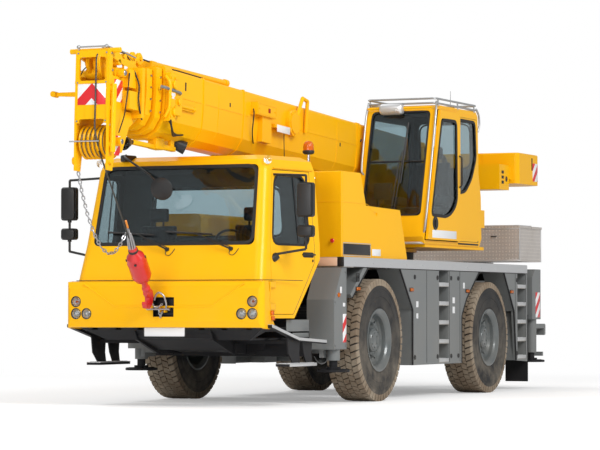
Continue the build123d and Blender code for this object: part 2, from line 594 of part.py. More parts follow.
# ---------------------------------------------------------------- operator's cab
OC_IN = 335.0
OC_OUT = 1205.0
OC_MID = (OC_IN + OC_OUT) / 2
OC_OUTLINE = [
    (-1640, 1800), (-1590, 1880), (-2000, 3400), (-2070, 3460), (-3380, 3460), (-3450, 3400),
    (-3480, 2700), (-3560, 2420), (-3580, 1900), (-3500, 1800),
]
OC_INNER = [
    (-1670, 1845), (-1632, 1890), (-2036, 3385), (-2085, 3422), (-3370, 3422), (-3412, 3390),
    (-3442, 2690), (-3522, 2410), (-3542, 1900), (-3480, 1845),
]
oc_outer = side_prism(OC_OUTLINE, OC_IN, OC_OUT)
oc_outer = fillet(oc_outer.edges().filter_by(Axis.Y).sort_by(Axis.Z)[-4:], 40)
oc_wall = oc_outer - side_prism(OC_INNER, OC_IN + 40, OC_OUT - 40)
OC_DOOR = [(-1655, 1850), (-2010, 3180), (-2080, 3400), (-2740, 3400), (-2740, 1850)]
OC_DOOR_HOLE = [(-1645, 1840), (-2000, 3180), (-2073, 3408), (-2746, 3408), (-2746, 1840)]
OC_DOOR_GLASS = [
    (-1755, 2123), (-2101, 3302), (-2622, 3310), (-2640, 2335), (-2540, 2225), (-2400, 2150),
    (-2240, 2115),
]
OC_DOOR_RADII = (60, 70, 70, 60, 120, 200, 200)
OC_REAR_GLASS = [
    (-2790, 2420), (-2790, 3345), (-3360, 3345), (-3402, 2885), (-3240, 2620), (-3020, 2450),
]
OC_REAR_RADII = (30, 60, 60, 60, 200, 200)
oc_front_hole = front_window([(OC_IN + 65, 2130), (OC_OUT - 55, 2130), (OC_OUT - 55, 3390),
                              (OC_IN + 65, 3390)], 50, -2200, -1500)
oc_top_hole = block(-3000, -2200, OC_IN + 115, OC_OUT - 105, 3400, 3500)
oc_rear_hole = front_window([(OC_IN + 95, 2760), (OC_OUT - 95, 2760), (OC_OUT - 95, 3330),
                             (OC_IN + 95, 3330)], 60, -3700, -3380)
oc_in_hole = side_window([(-1850, 2200), (-2150, 3300), (-3300, 3300), (-3360, 2700), (-3200, 2200)],
                         60, OC_IN - 5, OC_IN + 60)
oc_quarter_hole = arc_prism(OC_REAR_GLASS, OC_REAR_RADII, OC_OUT - 60, OC_OUT + 5)
oc_door_hole = side_prism(OC_DOOR_HOLE, OC_OUT - 60, OC_OUT + 5)
shell = oc_wall - oc_front_hole - oc_top_hole - oc_rear_hole - oc_in_hole - oc_quarter_hole - oc_door_hole
shell += block(-3420, -1720, OC_OUT, OC_OUT + 7.7, 1855, 1885)
shell += block(-3400, -2100, OC_OUT, OC_OUT + 7.7, 3365, 3390)
# low locker behind the cab, and the lock barrel on its side
shell += block(-3800, -3560, OC_IN + 60, OC_OUT - 40, 2040, 2260)
nodes["crane_cab_shell"] = shell

pane_outer = side_prism(OC_OUTLINE, OC_IN, OC_OUT)
front_pane = side_prism([(-1602, 1900), (-2012, 3400), (-2018, 3400), (-1608, 1900)], OC_IN, OC_OUT)
panes = front_pane & oc_front_hole
panes += block(-3000, -2200, OC_IN + 115, OC_OUT - 105, 3440, 3446)
panes += side_prism([(-3447, 3380), (-3476, 2720), (-3470, 2720), (-3441, 3380)],
                    OC_IN + 65, OC_OUT - 55) & oc_rear_hole
panes += oc_in_hole & block(-4000, -1000, OC_IN + 10, OC_IN + 16, 1800, 3500)
panes += oc_quarter_hole & block(-4000, -1000, OC_OUT - 16, OC_OUT - 10, 1800, 3500)
nodes["crane_cab_glass"] = panes

slide_door = side_prism(OC_DOOR, OC_OUT + 8, OC_OUT + 40)
door_pane_hole = arc_prism(OC_DOOR_GLASS, OC_DOOR_RADII, OC_OUT - 60, OC_OUT + 60)
nodes["crane_door"] = slide_door - door_pane_hole
nodes["crane_door_glass"] = door_pane_hole & block(-4000, -1000, OC_OUT + 20, OC_OUT + 26, 1800, 3500)

seat = block(-3000, -2500, OC_MID - 250, OC_MID + 250, 2150, 2260)
seat += block(-3120, -3000, OC_MID - 250, OC_MID + 250, 2200, 2850)
seat += block(-3100, -3020, OC_MID - 130, OC_MID + 130, 2850, 3030)
seat += block(-2950, -2600, OC_MID - 170, OC_MID + 170, 1845, 2150)
# consoles on both sides, on their posts
for y0, y1 in ((OC_IN + 65, OC_IN + 165), (OC_OUT - 165, OC_OUT - 75)):
    seat += block(-2900, -2350, y0, y1, 2300, 2400) + block(-2700, -2600, y0, y1, 1845, 2300)
nodes["crane_cab_interior"] = seat

# ================================================================ boom
BOOM_SECTION = [
    (-262, 350), (262, 350), (274, 330), (278, 80), (262, -180), (190, -300), (90, -358),
    (-90, -358), (-190, -300), (-262, -180), (-278, 80), (-274, 330),
]
boom_face = Plane.YZ * make_face(Polyline(*BOOM_SECTION, close=True))


def hollow_bar(step, wall, x0, x1):
    """Boom section number `step`, set in by 34 mm for each step, between x0 and x1."""
    outer = offset(boom_face, amount=-34 * step, kind=Kind.INTERSECTION) if step else boom_face
    inner = offset(boom_face, amount=-34 * step - wall, kind=Kind.INTERSECTION)
    ring = outer - inner
    return Pos(x0, 0, 0) * extrude(ring, amount=x1 - x0, dir=(1, 0, 0))


def guide_ring(step, x0, x1):
    """Wear pads inside section `step`, running 0.3 mm off the next one."""
    outer = offset(boom_face, amount=-34 * step - 12, kind=Kind.INTERSECTION)
    inner = offset(boom_face, amount=-34 * (step + 1) + 0.3, kind=Kind.INTERSECTION)
    return Pos(x0, 0, 0) * extrude(outer - inner, amount=x1 - x0, dir=(1, 0, 0))


def collar(step, x0, x1, grow):
    outer = offset(boom_face, amount=-34 * step + grow, kind=Kind.INTERSECTION)
    inner = offset(boom_face, amount=-34 * step - 12, kind=Kind.INTERSECTION)
    return Pos(x0, 0, 0) * extrude(outer - inner, amount=x1 - x0, dir=(1, 0, 0))


BASE_X = (-4050.0, 3300.0)
base = hollow_bar(0, 12, *BASE_X) + collar(0, 3140, 3300, 18) + collar(0, -1900, -1800, 8)
base += guide_ring(0, 3100, 3290)
base += twin(side_prism([(-4050, 320), (-4050, -300), (-4150, -200), (-4400, 60), (-4430, 170),
                         (-4390, 270), (-4300, 310)], 200, 262))
base += block(-4060, -4050, -262, 262, -300, 300)
foot_pin = Vector(PIVOT[0], 0, PIVOT[1] - BOOM_Z0).rotate(Axis.Y, BOOM_TILT)
base -= rod((foot_pin.X, -300, foot_pin.Z), (foot_pin.X, 300, foot_pin.Z), 45.3)
eye = Vector(LIFT_EYE[0], 0, LIFT_EYE[1] - BOOM_Z0).rotate(Axis.Y, BOOM_TILT)
EYE_X = eye.X
EYE_Z = eye.Z
lugs = twin(side_prism([(EYE_X - 260, -250), (EYE_X - 260, -350), (EYE_X - 90, EYE_Z - 70),
                        (EYE_X + 90, EYE_Z - 70), (EYE_X + 260, -350), (EYE_X + 260, -250)], 105, 135))
core = offset(boom_face, amount=-6, kind=Kind.INTERSECTION)
lugs -= Pos(EYE_X - 400, 0, 0) * extrude(core, amount=800, dir=(1, 0, 0))
lugs += twin(rod((EYE_X, 135, EYE_Z), (EYE_X, 150, EYE_Z), 45))
base += lugs
# jib tube on top, carried by two posts, with its hooked end
base += rod((1500, 90, 424), (3260, 90, 400), 32) + rod((1500, 90, 424), (1440, 90, 425), 42)
base += square_bar((1900, 90, 340), (1900, 90, 420), 40, 50)
base += square_bar((3150, 90, 340), (3150, 90, 400), 40, 50)
base += side_prism([(1440, 400), (1500, 400), (1490, 350), (1455, 352)], 80, 100)
# reel box, its bracket and the round cover on the left
base += block(690, 1190, 276, 360, 110, 250) + block(760, 1000, 270, 330, -170, 110)
base += block(250, 700, 276, 350, 20, 60)
base += rod((130, 272, 130), (130, 330, 130), 150) + rod((130, 330, 130), (130, 342, 130), 120)
# guard hoop over the cover
for start, end in (((-230, 300, 60), (-230, 320, 420)), ((-230, 320, 420), (-90, 320, 440)),
                   ((-90, 320, 440), (60, 320, 200))):
    base += rod(start, end, 22)
# clamps, ribs and rollers near the mouth
for x0 in (1350, 2350):
    base += collar(0, x0, x0 + 30, 10)
base += twin(block(2980, 3120, 276, 330, -120, 240)) + twin(block(3160, 3290, 276, 345, -200, 300))
base += twin(block(2600, 3140, 276, 300, -40, 20)) + block(3170, 3280, -120, 120, 360, 430)
nodes["boom_base"] = boom_place(base)

TELE = [(1, -3900.0, 3450.0), (2, -3750.0, 3600.0), (3, -3600.0, 3740.0)]
for step, x0, x1 in TELE:
    tube = hollow_bar(step, 12, x0, x1)
    if step < 3:
        tube += guide_ring(step, x1 - 200, x1 - 10)
        tube += collar(step, x1 - 120, x1, 24)
    nodes["boom_section_" + str(step)] = boom_place(tube)

# ---------------------------------------------------------------- boom head
HEAD_Y = 190.0
SHEAVE_X = 4150.0
SHEAVE_Z = -503.0
UPPER_X = 4110.0
UPPER_Z = 190.0
PLATE_X = 4297.0
NOSE = NOSE_X - 20
head_side = [
    (3740, -250), (3740, 300), (3800, 345), (4040, 345), (4160, 420), (NOSE, 400), (NOSE, -330),
    (4318, -800), (4215, -800), (4190, -640), (4020, -600), (3880, -330),
]
head_windows = side_prism([(3830, -180), (3830, 60), (3980, 60), (3980, -180)], -300, 300)
head_windows += side_prism([(4020, 150), (4020, 280), (4260, 330), (4260, 150)], -300, 300)
head = twin(side_prism(head_side, HEAD_Y - 22, HEAD_Y)) - head_windows
# front plate with its upper window and its lower recess over the sheaves
front_plate = block(PLATE_X, NOSE, -HEAD_Y, HEAD_Y, -330, 400)
front_plate -= front_window([(-150, 95), (150, 95), (150, 330), (-150, 330)], 30, 4280, 4400)
front_plate -= front_window([(-140, -360), (140, -360), (140, -290), (-140, -290)], 20, 4280, 4400)
head += front_plate
head += block(NOSE, NOSE + 7, -HEAD_Y, HEAD_Y, 65, 90) + block(NOSE, NOSE + 7, -65, 65, -290, -150)
head += twin(block(NOSE - 60, NOSE + 7, HEAD_Y - 22, HEAD_Y - 8, -290, 400))
head += block(3740, 3762, -HEAD_Y - 10, HEAD_Y + 10, -240, 240)
head += block(3740, 3925, -HEAD_Y, HEAD_Y, 130, 150) + block(3780, PLATE_X, -HEAD_Y, HEAD_Y, -200, -180)
# pin bosses, feet bosses and the guard bar over the sheaves
for x, z, reach, size in ((SHEAVE_X, SHEAVE_Z, 70, 45), (4275, -700, 26, 40),
                          (UPPER_X, UPPER_Z, 60, 40), (4270, 400, 90, 26)):
    head += twin(rod((x, HEAD_Y - 22, z), (x, HEAD_Y + reach, z), size))
head += rod((4270, -HEAD_Y, 400), (4270, HEAD_Y, 400), 26)
head += rod((3990, -HEAD_Y, 372), (3990, HEAD_Y, 372), 30)
# round column beside the front plate, brackets and hydraulic block on the left
head += rod((4275, HEAD_Y + 30, -620), (4275, HEAD_Y + 30, 60), 28)
for z in (-560, -200, 0):
    head += block(4245, 4295, HEAD_Y - 5, HEAD_Y + 30, z, z + 40)
head += block(3800, 4050, HEAD_Y, HEAD_Y + 90, -160, 20) + block(3860, 4020, HEAD_Y, HEAD_Y + 60, 60, 240)
head += block(3770, 3830, HEAD_Y, HEAD_Y + 110, -230, 280)
# fork arm of the fly jib on the right
arm = front_prism([(-HEAD_Y, 30), (-HEAD_Y, -150), (-260, -130), (-330, -20), (-620, -4), (-620, 30)],
                  3990, 4015)
arm += rod((3960, -600, 13), (4050, -600, 13), 30)
head += arm + block(3960, 4050, -230, -HEAD_Y, -120, 30)
nodes["boom_section_3"] += boom_place(head)

sheave_profile = [(0, -20, 60), (0, -20, 172), (0, 0, 148), (0, 20, 172), (0, 20, 60)]
sheave = revolve(face_of(sheave_profile), Axis.Y)
sheaves = rod((SHEAVE_X, -HEAD_Y + 22, SHEAVE_Z), (SHEAVE_X, HEAD_Y - 22, SHEAVE_Z), 60)
for k in range(6):
    sheaves += Pos(SHEAVE_X, -120 + 48 * k, SHEAVE_Z) * sheave
sheaves += rod((UPPER_X, -HEAD_Y + 22, UPPER_Z), (UPPER_X, HEAD_Y - 22, UPPER_Z), 60)
sheaves += Pos(UPPER_X, 60, UPPER_Z) * sheave
nodes["head_sheaves"] = boom_place(sheaves)

# ---------------------------------------------------------------- rope and hook
block_top = (3380, -40, 1660)
sheave_hub = boom_place(Pos(SHEAVE_X, 0, SHEAVE_Z) * Box(1, 1, 1)).center()
fall = Vector(block_top[0] - sheave_hub.X, 0, block_top[2] - sheave_hub.Z).normalized()
rope_top = (sheave_hub.X - fall.Z * 166, 72, sheave_hub.Z + fall.X * 166)
nodes["hoist_rope"] = rod(rope_top, block_top, 8)
way = Vector(*block_top) - Vector(*rope_top)
way = way.normalized()
start = Vector(*block_top)
# swivel, drop-shaped weight and a forged hook, drawn upright and then turned to the rope
weight = revolve(face_of([(0, 0, 0), (34, 0, 0), (46, 0, -30), (46, 0, -70), (92, 0, -130),
                          (104, 0, -200), (104, 0, -400), (84, 0, -450), (60, 0, -470),
                          (0, 0, -470)]), Axis.Z)
shank = Pos(0, 0, -520) * Cylinder(34, 110) + Pos(0, 0, -590) * Sphere(46)
tip = face_of([(-30, 0, -575), (30, 0, -575), (52, 0, -640), (40, 0, -690), (70, 0, -730),
               (112, 0, -712), (118, 0, -672), (140, 0, -690), (146, 0, -740), (104, 0, -790),
               (30, 0, -798), (-44, 0, -756), (-66, 0, -690), (-40, 0, -620)])
claw = Pos(0, 26, 0) * extrude(tip, amount=52, dir=(0, -1, 0))
turn_hook = Plane(origin=start, x_dir=Vector(0, 1, 0).cross(way * -1), z_dir=way * -1)
nodes["hook_block"] = turn_hook * (weight + shank + claw)

# ---------------------------------------------------------------- luffing cylinder
foot = Vector(LIFT_FOOT[0], 0, LIFT_FOOT[1])
eye_w = Vector(LIFT_EYE[0], 0, LIFT_EYE[1])
run = (eye_w - foot).normalized()
barrel_end = foot + run * 2560
barrel = rod((foot + run * 90), barrel_end, 105)
barrel -= rod((foot + run * 140), (foot + run * 2570), 88)
barrel += rod((LIFT_FOOT[0], -100, LIFT_FOOT[1]), (LIFT_FOOT[0], 100, LIFT_FOOT[1]), 110)
barrel += pipe((foot + run * 2500), barrel_end, 95, 70.3)
nodes["lift_barrel"] = barrel
piston = rod((foot + run * 200), (eye_w - run * 60), 70)
piston += rod((foot + run * 200), (foot + run * 300), 87.7)
piston += rod((LIFT_EYE[0], -100, LIFT_EYE[1]), (LIFT_EYE[0], 100, LIFT_EYE[1]), 72)

nodes["lift_rod"] = piston

# ---------------------------------------------------------------- write
os.makedirs("parts", exist_ok=True)
for name, shape in nodes.items():
    export_step(Pos(X_SHIFT, 0, 0) * shape, "parts/" + name + ".step")
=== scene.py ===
"""Finishes and fittings of a two-axle mobile crane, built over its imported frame."""
import math

import bmesh
import bpy
from mathutils import Matrix, Vector


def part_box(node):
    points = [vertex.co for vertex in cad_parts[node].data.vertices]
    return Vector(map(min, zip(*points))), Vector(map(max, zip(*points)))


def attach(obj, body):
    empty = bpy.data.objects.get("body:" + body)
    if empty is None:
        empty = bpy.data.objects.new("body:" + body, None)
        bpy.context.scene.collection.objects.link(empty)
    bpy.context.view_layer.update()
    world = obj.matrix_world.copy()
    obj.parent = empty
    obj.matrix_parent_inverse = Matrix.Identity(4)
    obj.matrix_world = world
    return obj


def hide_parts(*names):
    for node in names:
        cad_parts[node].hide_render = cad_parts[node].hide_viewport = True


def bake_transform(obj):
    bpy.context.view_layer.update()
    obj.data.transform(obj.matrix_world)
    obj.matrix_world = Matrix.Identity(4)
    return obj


bl_info = {"name": "Mobile Crane Dressing", "version": (1, 0, 0), "blender": (4, 5, 0),
    "location": "View3D > Sidebar > Crane",
    "description": "Adds tyres, lamps, glass seals, guards, rigging and paint to the crane",
    "category": "Object",}

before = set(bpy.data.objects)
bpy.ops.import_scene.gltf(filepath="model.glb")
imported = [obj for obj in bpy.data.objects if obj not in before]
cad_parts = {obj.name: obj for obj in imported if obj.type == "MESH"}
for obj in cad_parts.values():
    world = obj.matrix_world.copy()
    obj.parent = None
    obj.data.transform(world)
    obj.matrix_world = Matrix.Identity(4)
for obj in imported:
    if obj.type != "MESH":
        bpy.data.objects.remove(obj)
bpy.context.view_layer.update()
TYRE_LOW, TYRE_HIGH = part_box("tyre_front_left")
REAR_LOW, REAR_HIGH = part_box("tyre_rear_left")
AXLE_X = (TYRE_LOW.x + TYRE_HIGH.x) / 2
REAR_X = (REAR_LOW.x + REAR_HIGH.x) / 2 - AXLE_X
HUB = Vector((0, (TYRE_LOW.y + TYRE_HIGH.y) / 2, (TYRE_LOW.z + TYRE_HIGH.z) / 2))
TYRE_R = (TYRE_HIGH.z - TYRE_LOW.z) / 2
SHIFT = Vector((AXLE_X, 0, 0))
SHARP_ANGLE = math.radians(32)
BOOM_TILT = math.radians(-2.8)
BOOM_AT = Matrix.Translation((0, 0, 2.99)) @ Matrix.Rotation(BOOM_TILT, 4, "Y")
SIDES = (("left", 1), ("right", -1))
STRIPES = {"left": "Stripes Left", "right": "Stripes Right"}
UPPER = "superstructure"
RING_X = -2.6
WHEELS = (("front_left", 0, 1), ("front_right", 0, -1), ("rear_left", REAR_X, 1),
    ("rear_right", REAR_X, -1))


# ---------------------------------------------------------------- shapes
def in_scene(name, data):
    item = bpy.data.objects.new(name, data)
    bpy.context.scene.collection.objects.link(item)
    return item


class Shape:
    """A mesh under construction, in metres from the front axle's line on the ground."""

    def __init__(self):
        self.bm = bmesh.new()

    def _place(self, verts, matrix):
        bmesh.ops.transform(self.bm, matrix=matrix, verts=verts)
        return self

    def box(self, low, high, bevel=0.0, segments=2, turn=None):
        low, high = Vector(low), Vector(high)
        verts = bmesh.ops.create_cube(self.bm, size=1)["verts"]
        size = Matrix.Diagonal((*(high - low), 1))
        spin = turn or Matrix.Identity(4)
        self._place(verts, Matrix.Translation((low + high) / 2) @ spin @ size)
        if bevel:
            self._bevel(verts, bevel, segments)
        return self

    def _bevel(self, verts, width, segments=2):
        edges = list(dict.fromkeys(e for v in verts for e in v.link_edges))
        bmesh.ops.bevel(self.bm, geom=edges, offset=width, offset_type="OFFSET", segments=segments,
            profile=0.5, affect="EDGES", clamp_overlap=True, material=-1)

    def boxes(self, corners, **edges):
        """Boxes with the same bevel, each between two corners."""
        for low, high in corners:
            self.box(low, high, **edges)
        return self

    def rod(self, start, end, radius, far=None, sides=24):
        start, end = Vector(start), Vector(end)
        way = end - start
        verts = bmesh.ops.create_cone(self.bm, cap_ends=True, segments=sides, radius1=radius,
            radius2=radius if far is None else far, depth=way.length)["verts"]
        turn = way.to_track_quat("Z", "Y").to_matrix().to_4x4()
        return self._place(verts, Matrix.Translation((start + end) / 2) @ turn)

    def bolts(self, places, way, radius, sides=6):
        for place in places:
            self.rod(place, Vector(place) + Vector(way), radius, sides=sides)
        return self

    def ball(self, centre, size, sides=24):
        verts = bmesh.ops.create_uvsphere(self.bm, u_segments=sides, v_segments=sides // 2,
            radius=1)["verts"]
        size = size if hasattr(size, "__len__") else (size, size, size)
        return self._place(verts, Matrix.Translation(centre) @ Matrix.Diagonal((*size, 1)))

    def turned(self, profile, centre, axis, steps=32, angle=math.tau):
        """Outline of (radius, distance along the axis) spun about the axis through centre."""
        axis = Vector(axis).normalized()
        side = axis.orthogonal().normalized()
        centre = Vector(centre)
        verts = [self.bm.verts.new(centre + side * r + axis * w) for r, w in profile]
        edges = [self.bm.edges.new(pair) for pair in zip(verts, verts[1:])]
        closed = abs(angle - math.tau) < 1e-6
        bmesh.ops.spin(self.bm, geom=verts + edges, cent=centre, axis=axis, angle=angle,
            steps=steps, use_merge=closed)
        bmesh.ops.remove_doubles(self.bm, verts=self.bm.verts, dist=1e-5)
        return self

    def prism(self, outline, axis, start, end, bevel=0.0, segments=2):
        """Flat outline raised along X, Y or Z from start to end."""
        order = {"X": (2, 0, 1), "Y": (0, 2, 1), "Z": (0, 1, 2)}[axis]
        verts = []
        for a, b in outline:
            point = (a, b, start)
            verts.append(self.bm.verts.new([point[k] for k in order]))
        face = self.bm.faces.new(verts)
        way = Vector([end - start if k == 2 else 0 for k in order])
        made = bmesh.ops.extrude_face_region(self.bm, geom=[face])
        new = [v for v in made["geom"] if isinstance(v, bmesh.types.BMVert)]
        bmesh.ops.translate(self.bm, vec=way, verts=new)
        if bevel:
            self._bevel(verts + new, bevel, segments)
        return self

    def tube(self, points, radius, sides=10, bend=0.0, closed=False):
        """Round bar through the points, with corners rounded to the bend radius."""
        path = rounded_path([Vector(p) for p in points], bend, closed)
        ring, first, size = None, None, len(path)
        up = (path[1] - path[0]).orthogonal().normalized()
        for k, point in enumerate(path):
            before = path[k - 1] if k or closed else None
            after = path[(k + 1) % size] if k + 1 < size or closed else None
            way = Vector((0, 0, 0))
            if before is not None:
                way += (point - before).normalized()
            if after is not None:
                way += (after - point).normalized()
            way.normalize()
            up = (up - way * up.dot(way)).normalized()
            frame = Matrix.Translation(point) @ Matrix((up, way.cross(up),
                way)).transposed().to_4x4()
            if ring is None:
                verts = bmesh.ops.create_circle(self.bm, segments=sides, radius=radius)["verts"]
                bmesh.ops.transform(self.bm, matrix=frame, verts=verts)
                ring = list({e for v in verts for e in v.link_edges})
                first = list(ring)
            else:
                made = bmesh.ops.extrude_edge_only(self.bm, edges=ring)["geom"]
                verts = [v for v in made if isinstance(v, bmesh.types.BMVert)]
                ring = [e for e in made if isinstance(e, bmesh.types.BMEdge) and e.verts[0] in verts
                    and e.verts[1] in verts]
                bmesh.ops.transform(self.bm, matrix=frame @ last.inverted(), verts=verts)
            last = frame
        if closed:
            bmesh.ops.bridge_loops(self.bm, edges=first + ring)
        else:
            bmesh.ops.contextual_create(self.bm, geom=first)
            bmesh.ops.contextual_create(self.bm, geom=ring)
        return self

    def band(self, corners, width, depth, bend=0.05):
        """Flat ring inside the corners, as wide as given and raised by the depth."""
        path = rounded_path([Vector(p) for p in corners], bend, closed=True)
        centre = sum(path, Vector()) / len(path)
        normal = Vector()
        for a, b in zip(path, path[1:] + path[:1]):
            normal += (a - centre).cross(b - centre)
        normal.normalize()
        rings = []
        for reach, rise in ((0, 0), (0, depth), (width, depth), (width, 0)):
            ring = []
            for k, point in enumerate(path):
                way = (path[(k + 1) % len(path)] - path[k - 1]).normalized()
                ring.append(self.bm.verts.new(point + normal.cross(way) * reach + normal * rise))
            rings.append(ring)
        for near, far in zip(rings, rings[1:] + rings[:1]):
            for k in range(len(path)):
                self.bm.faces.new((near[k - 1], near[k], far[k], far[k - 1]))
        return self

    def links(self, path, length, wire, twist=0.0):
        """Chain of oval links along a path of points, each turned from the last."""
        points = [Vector(p) for p in path]
        left, place, k = 0.0, points[0], 0
        pitch = length - 2.6 * wire
        for start, end in zip(points, points[1:]):
            way = (end - start).normalized()
            span = (end - start).length
            done = left
            while done < span:
                place = start + way * done
                up = way.orthogonal().normalized()
                turn = Matrix.Rotation(twist + (math.pi / 2 if k % 2 else 0), 3, way)
                side = (turn @ up) * (length * 0.34 - wire)
                reach = way * (length / 2 - wire)
                half = way * (length / 2 - wire - side.length * 0.9)
                oval = [place + half + side, place + reach + side * 0.5, place + reach - side * 0.5,
                    place + half - side, place - half - side, place - reach - side * 0.5, place -
                    reach + side * 0.5, place - half + side]
                self.tube(oval, wire, sides=6, closed=True)
                done += pitch
                k += 1
            left = done - span
        return self

    def move(self, matrix):
        bmesh.ops.transform(self.bm, matrix=matrix, verts=self.bm.verts)
        return self

    def twin(self):
        """Adds the mirror image on the other side."""
        geom = list(self.bm.verts) + list(self.bm.edges) + list(self.bm.faces)
        made = bmesh.ops.duplicate(self.bm, geom=geom)["geom"]
        verts = [v for v in made if isinstance(v, bmesh.types.BMVert)]
        faces = [f for f in made if isinstance(f, bmesh.types.BMFace)]
        bmesh.ops.transform(self.bm, matrix=Matrix.Diagonal((1, -1, 1, 1)), verts=verts)
        bmesh.ops.reverse_faces(self.bm, faces=faces)
        return self

    def done(self, name, finish, body="carrier", slot=None, flip=False):
        """Makes the piece; a flipped one is the mirror image, for the right side."""
        bm = self.bm
        if flip:
            bmesh.ops.transform(bm, matrix=Matrix.Diagonal((1, -1, 1, 1)), verts=bm.verts)
        bmesh.ops.recalc_face_normals(bm, faces=bm.faces)
        bmesh.ops.translate(bm, vec=SHIFT, verts=bm.verts)
        mesh = bpy.data.meshes.new(name)
        bm.to_mesh(mesh)
        bm.free()
        mesh.shade_smooth()
        mesh.set_sharp_from_angle(angle=SHARP_ANGLE)
        mesh.materials.append(bpy.data.materials[finish])
        piece = in_scene(name, mesh)
        if body:
            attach(piece, body)
        return piece


def at_x(x, points):
    return [(x, y, z) for y, z in points]


def at_y(y, points):
    return [(x, y, z) for x, z in points]


def at_z(z, points):
    return [(x, y, z) for x, y in points]


def around(count, radius, axis="Y", lag=0.0):
    """Places on a circle about the axis, from one step's share onwards."""
    for k in range(count):
        turn = math.tau * (k + lag) / count
        a, b = math.cos(turn) * radius, math.sin(turn) * radius
        yield Vector((a, 0, b) if axis == "Y" else (a, b, 0))


def rounded_path(points, bend, closed=False):
    """The points with each inner corner replaced by a short arc."""
    if not bend:
        return points
    path = [] if closed else [points[0]]
    count = len(points)
    inner = range(count) if closed else range(1, count - 1)
    for k in inner:
        here, back, ahead = points[k], points[k - 1], points[(k + 1) % count]
        a, b = back - here, ahead - here
        cut = min(bend, a.length * 0.45, b.length * 0.45)
        start, end = here + a.normalized() * cut, here + b.normalized() * cut
        for t in (0.0, 0.25, 0.5, 0.75, 1.0):
            path.append(start.lerp(here, t).lerp(here.lerp(end, t), t))
    if not closed:
        path.append(points[-1])
    return path


def boom_point(x, y, z):
    """A point given in the boom's own frame."""
    return BOOM_AT @ Vector((x, y, z))


def cab_side(x, z):
    """Half width of the driver's cab's outer skin."""
    low, high = ((1.32, 1.222, 2.65, 1.085), (1.71, 1.215, 2.53, 1.045))
    if z > 1.71:
        low, high = high, (2.5, 1.15, 2.34, 0.985)
    part = (z - low[0]) / (high[0] - low[0])
    rear_y, front_x, front_y = (a + (b - a) * part for a, b in zip(low[1:], high[1:]))
    return rear_y + (front_y - rear_y) * (x - 1.45) / (front_x - 1.45)


def cab_front(z):
    """Front face of the driver's cab, from the windscreen's foot to the roof."""
    return 2.53 - 0.2405 * (z - 1.71)


def crane_front(z):
    """Front face of the operator's cab."""
    return -1.59 - 0.26974 * (z - 1.88)


# ---------------------------------------------------------------- shader groups
def new_group(name, inputs, outputs):
    """A shader node group with its sockets; returns it with its ends."""
    tree = bpy.data.node_groups.new(name, "ShaderNodeTree")
    for label, kind, value in inputs:
        socket = tree.interface.new_socket(label, in_out="INPUT", socket_type="NodeSocket" + kind)
        if value is not None:
            socket.default_value = value
    for label, kind in outputs:
        tree.interface.new_socket(label, in_out="OUTPUT", socket_type="NodeSocket" + kind)
    return tree, tree.nodes.new("NodeGroupInput").outputs, tree.nodes.new("NodeGroupOutput")


def node(tree, kind, links=None, **values):
    """Adds a node, sets its fields and joins its inputs by name or number."""
    made = tree.nodes.new("ShaderNode" + kind)
    for key, value in values.items():
        setattr(made, key, value)
    for key, value in (links or {}).items():
        if isinstance(value, bpy.types.NodeSocket):
            tree.links.new(value, made.inputs[key])
        else:
            made.inputs[key].default_value = value
    return made


def math_node(tree, operation, a, b=0.0, clamp=False):
    return node(tree, "Math", {0: a, 1: b}, operation=operation, use_clamp=clamp).outputs[0]


def times(tree, a, b):
    return math_node(tree, "MULTIPLY", a, b)


def plus(tree, a, b):
    return math_node(tree, "ADD", a, b)


def ramp(tree, value, source, target=(0.0, 1.0), **values):
    """The value's source range mapped onto the target range."""
    links = {"Value": value, 1: source[0], 2: source[1], 3: target[0], 4: target[1]}
    return node(tree, "MapRange", links, **values).outputs[0]


def mix(tree, factor, a, b, blend="MIX"):
    """Blend of two colours; their sockets are the seventh and eighth of the node's inputs."""
    return node(tree, "Mix", {"Factor": factor, 6: a, 7: b}, data_type="RGBA",
        blend_type=blend).outputs[2]


def grey(tree, value):
    return node(tree, "CombineColor", {0: value, 1: value, 2: value}).outputs[0]


def bump(tree, height, strength, distance):
    return node(tree, "Bump", {"Strength": strength, "Distance": distance,
        "Height": height}).outputs[0]


def feed(end, **sockets):
    """Joins sockets to a node's inputs; an underscore stands for the space in a name."""
    for key, value in sockets.items():
        end.id_data.links.new(value, end.inputs[key.replace("_", " ")])


def object_place(tree):
    return node(tree, "TexCoord").outputs["Object"]


def road_dust_group():
    """Dust that gathers low down and in faint patches."""
    tree, ins, outs = new_group("Road Dust", [("Color", "Color", (1, 1, 1, 1)),
        ("Dust", "Color", (0.42, 0.36, 0.28, 1)), ("Amount", "Float", 0.3),
        ("Fade Height", "Float", 1.4), ("Roughness", "Float", 0.3)],
        [("Color", "Color"), ("Roughness", "Float")])
    place = object_place(tree)
    noise = node(tree, "TexNoise", {"Vector": place, "Scale": 3.0, "Detail": 6.0,
        "Roughness": 0.62})
    height = node(tree, "SeparateXYZ", {0: place}).outputs[2]
    low = ramp(tree, height, (0.1, ins["Fade Height"]), (1.0, 0.12))
    patch = ramp(tree, noise.outputs[0], (0.38, 0.72))
    mask = math_node(tree, "MULTIPLY", times(tree, patch, low), ins["Amount"], clamp=True)
    rough = math_node(tree, "ADD", ins["Roughness"], times(tree, mask, 0.5), clamp=True)
    feed(outs, Color=mix(tree, mask, ins["Color"], ins["Dust"]), Roughness=rough)
    return tree


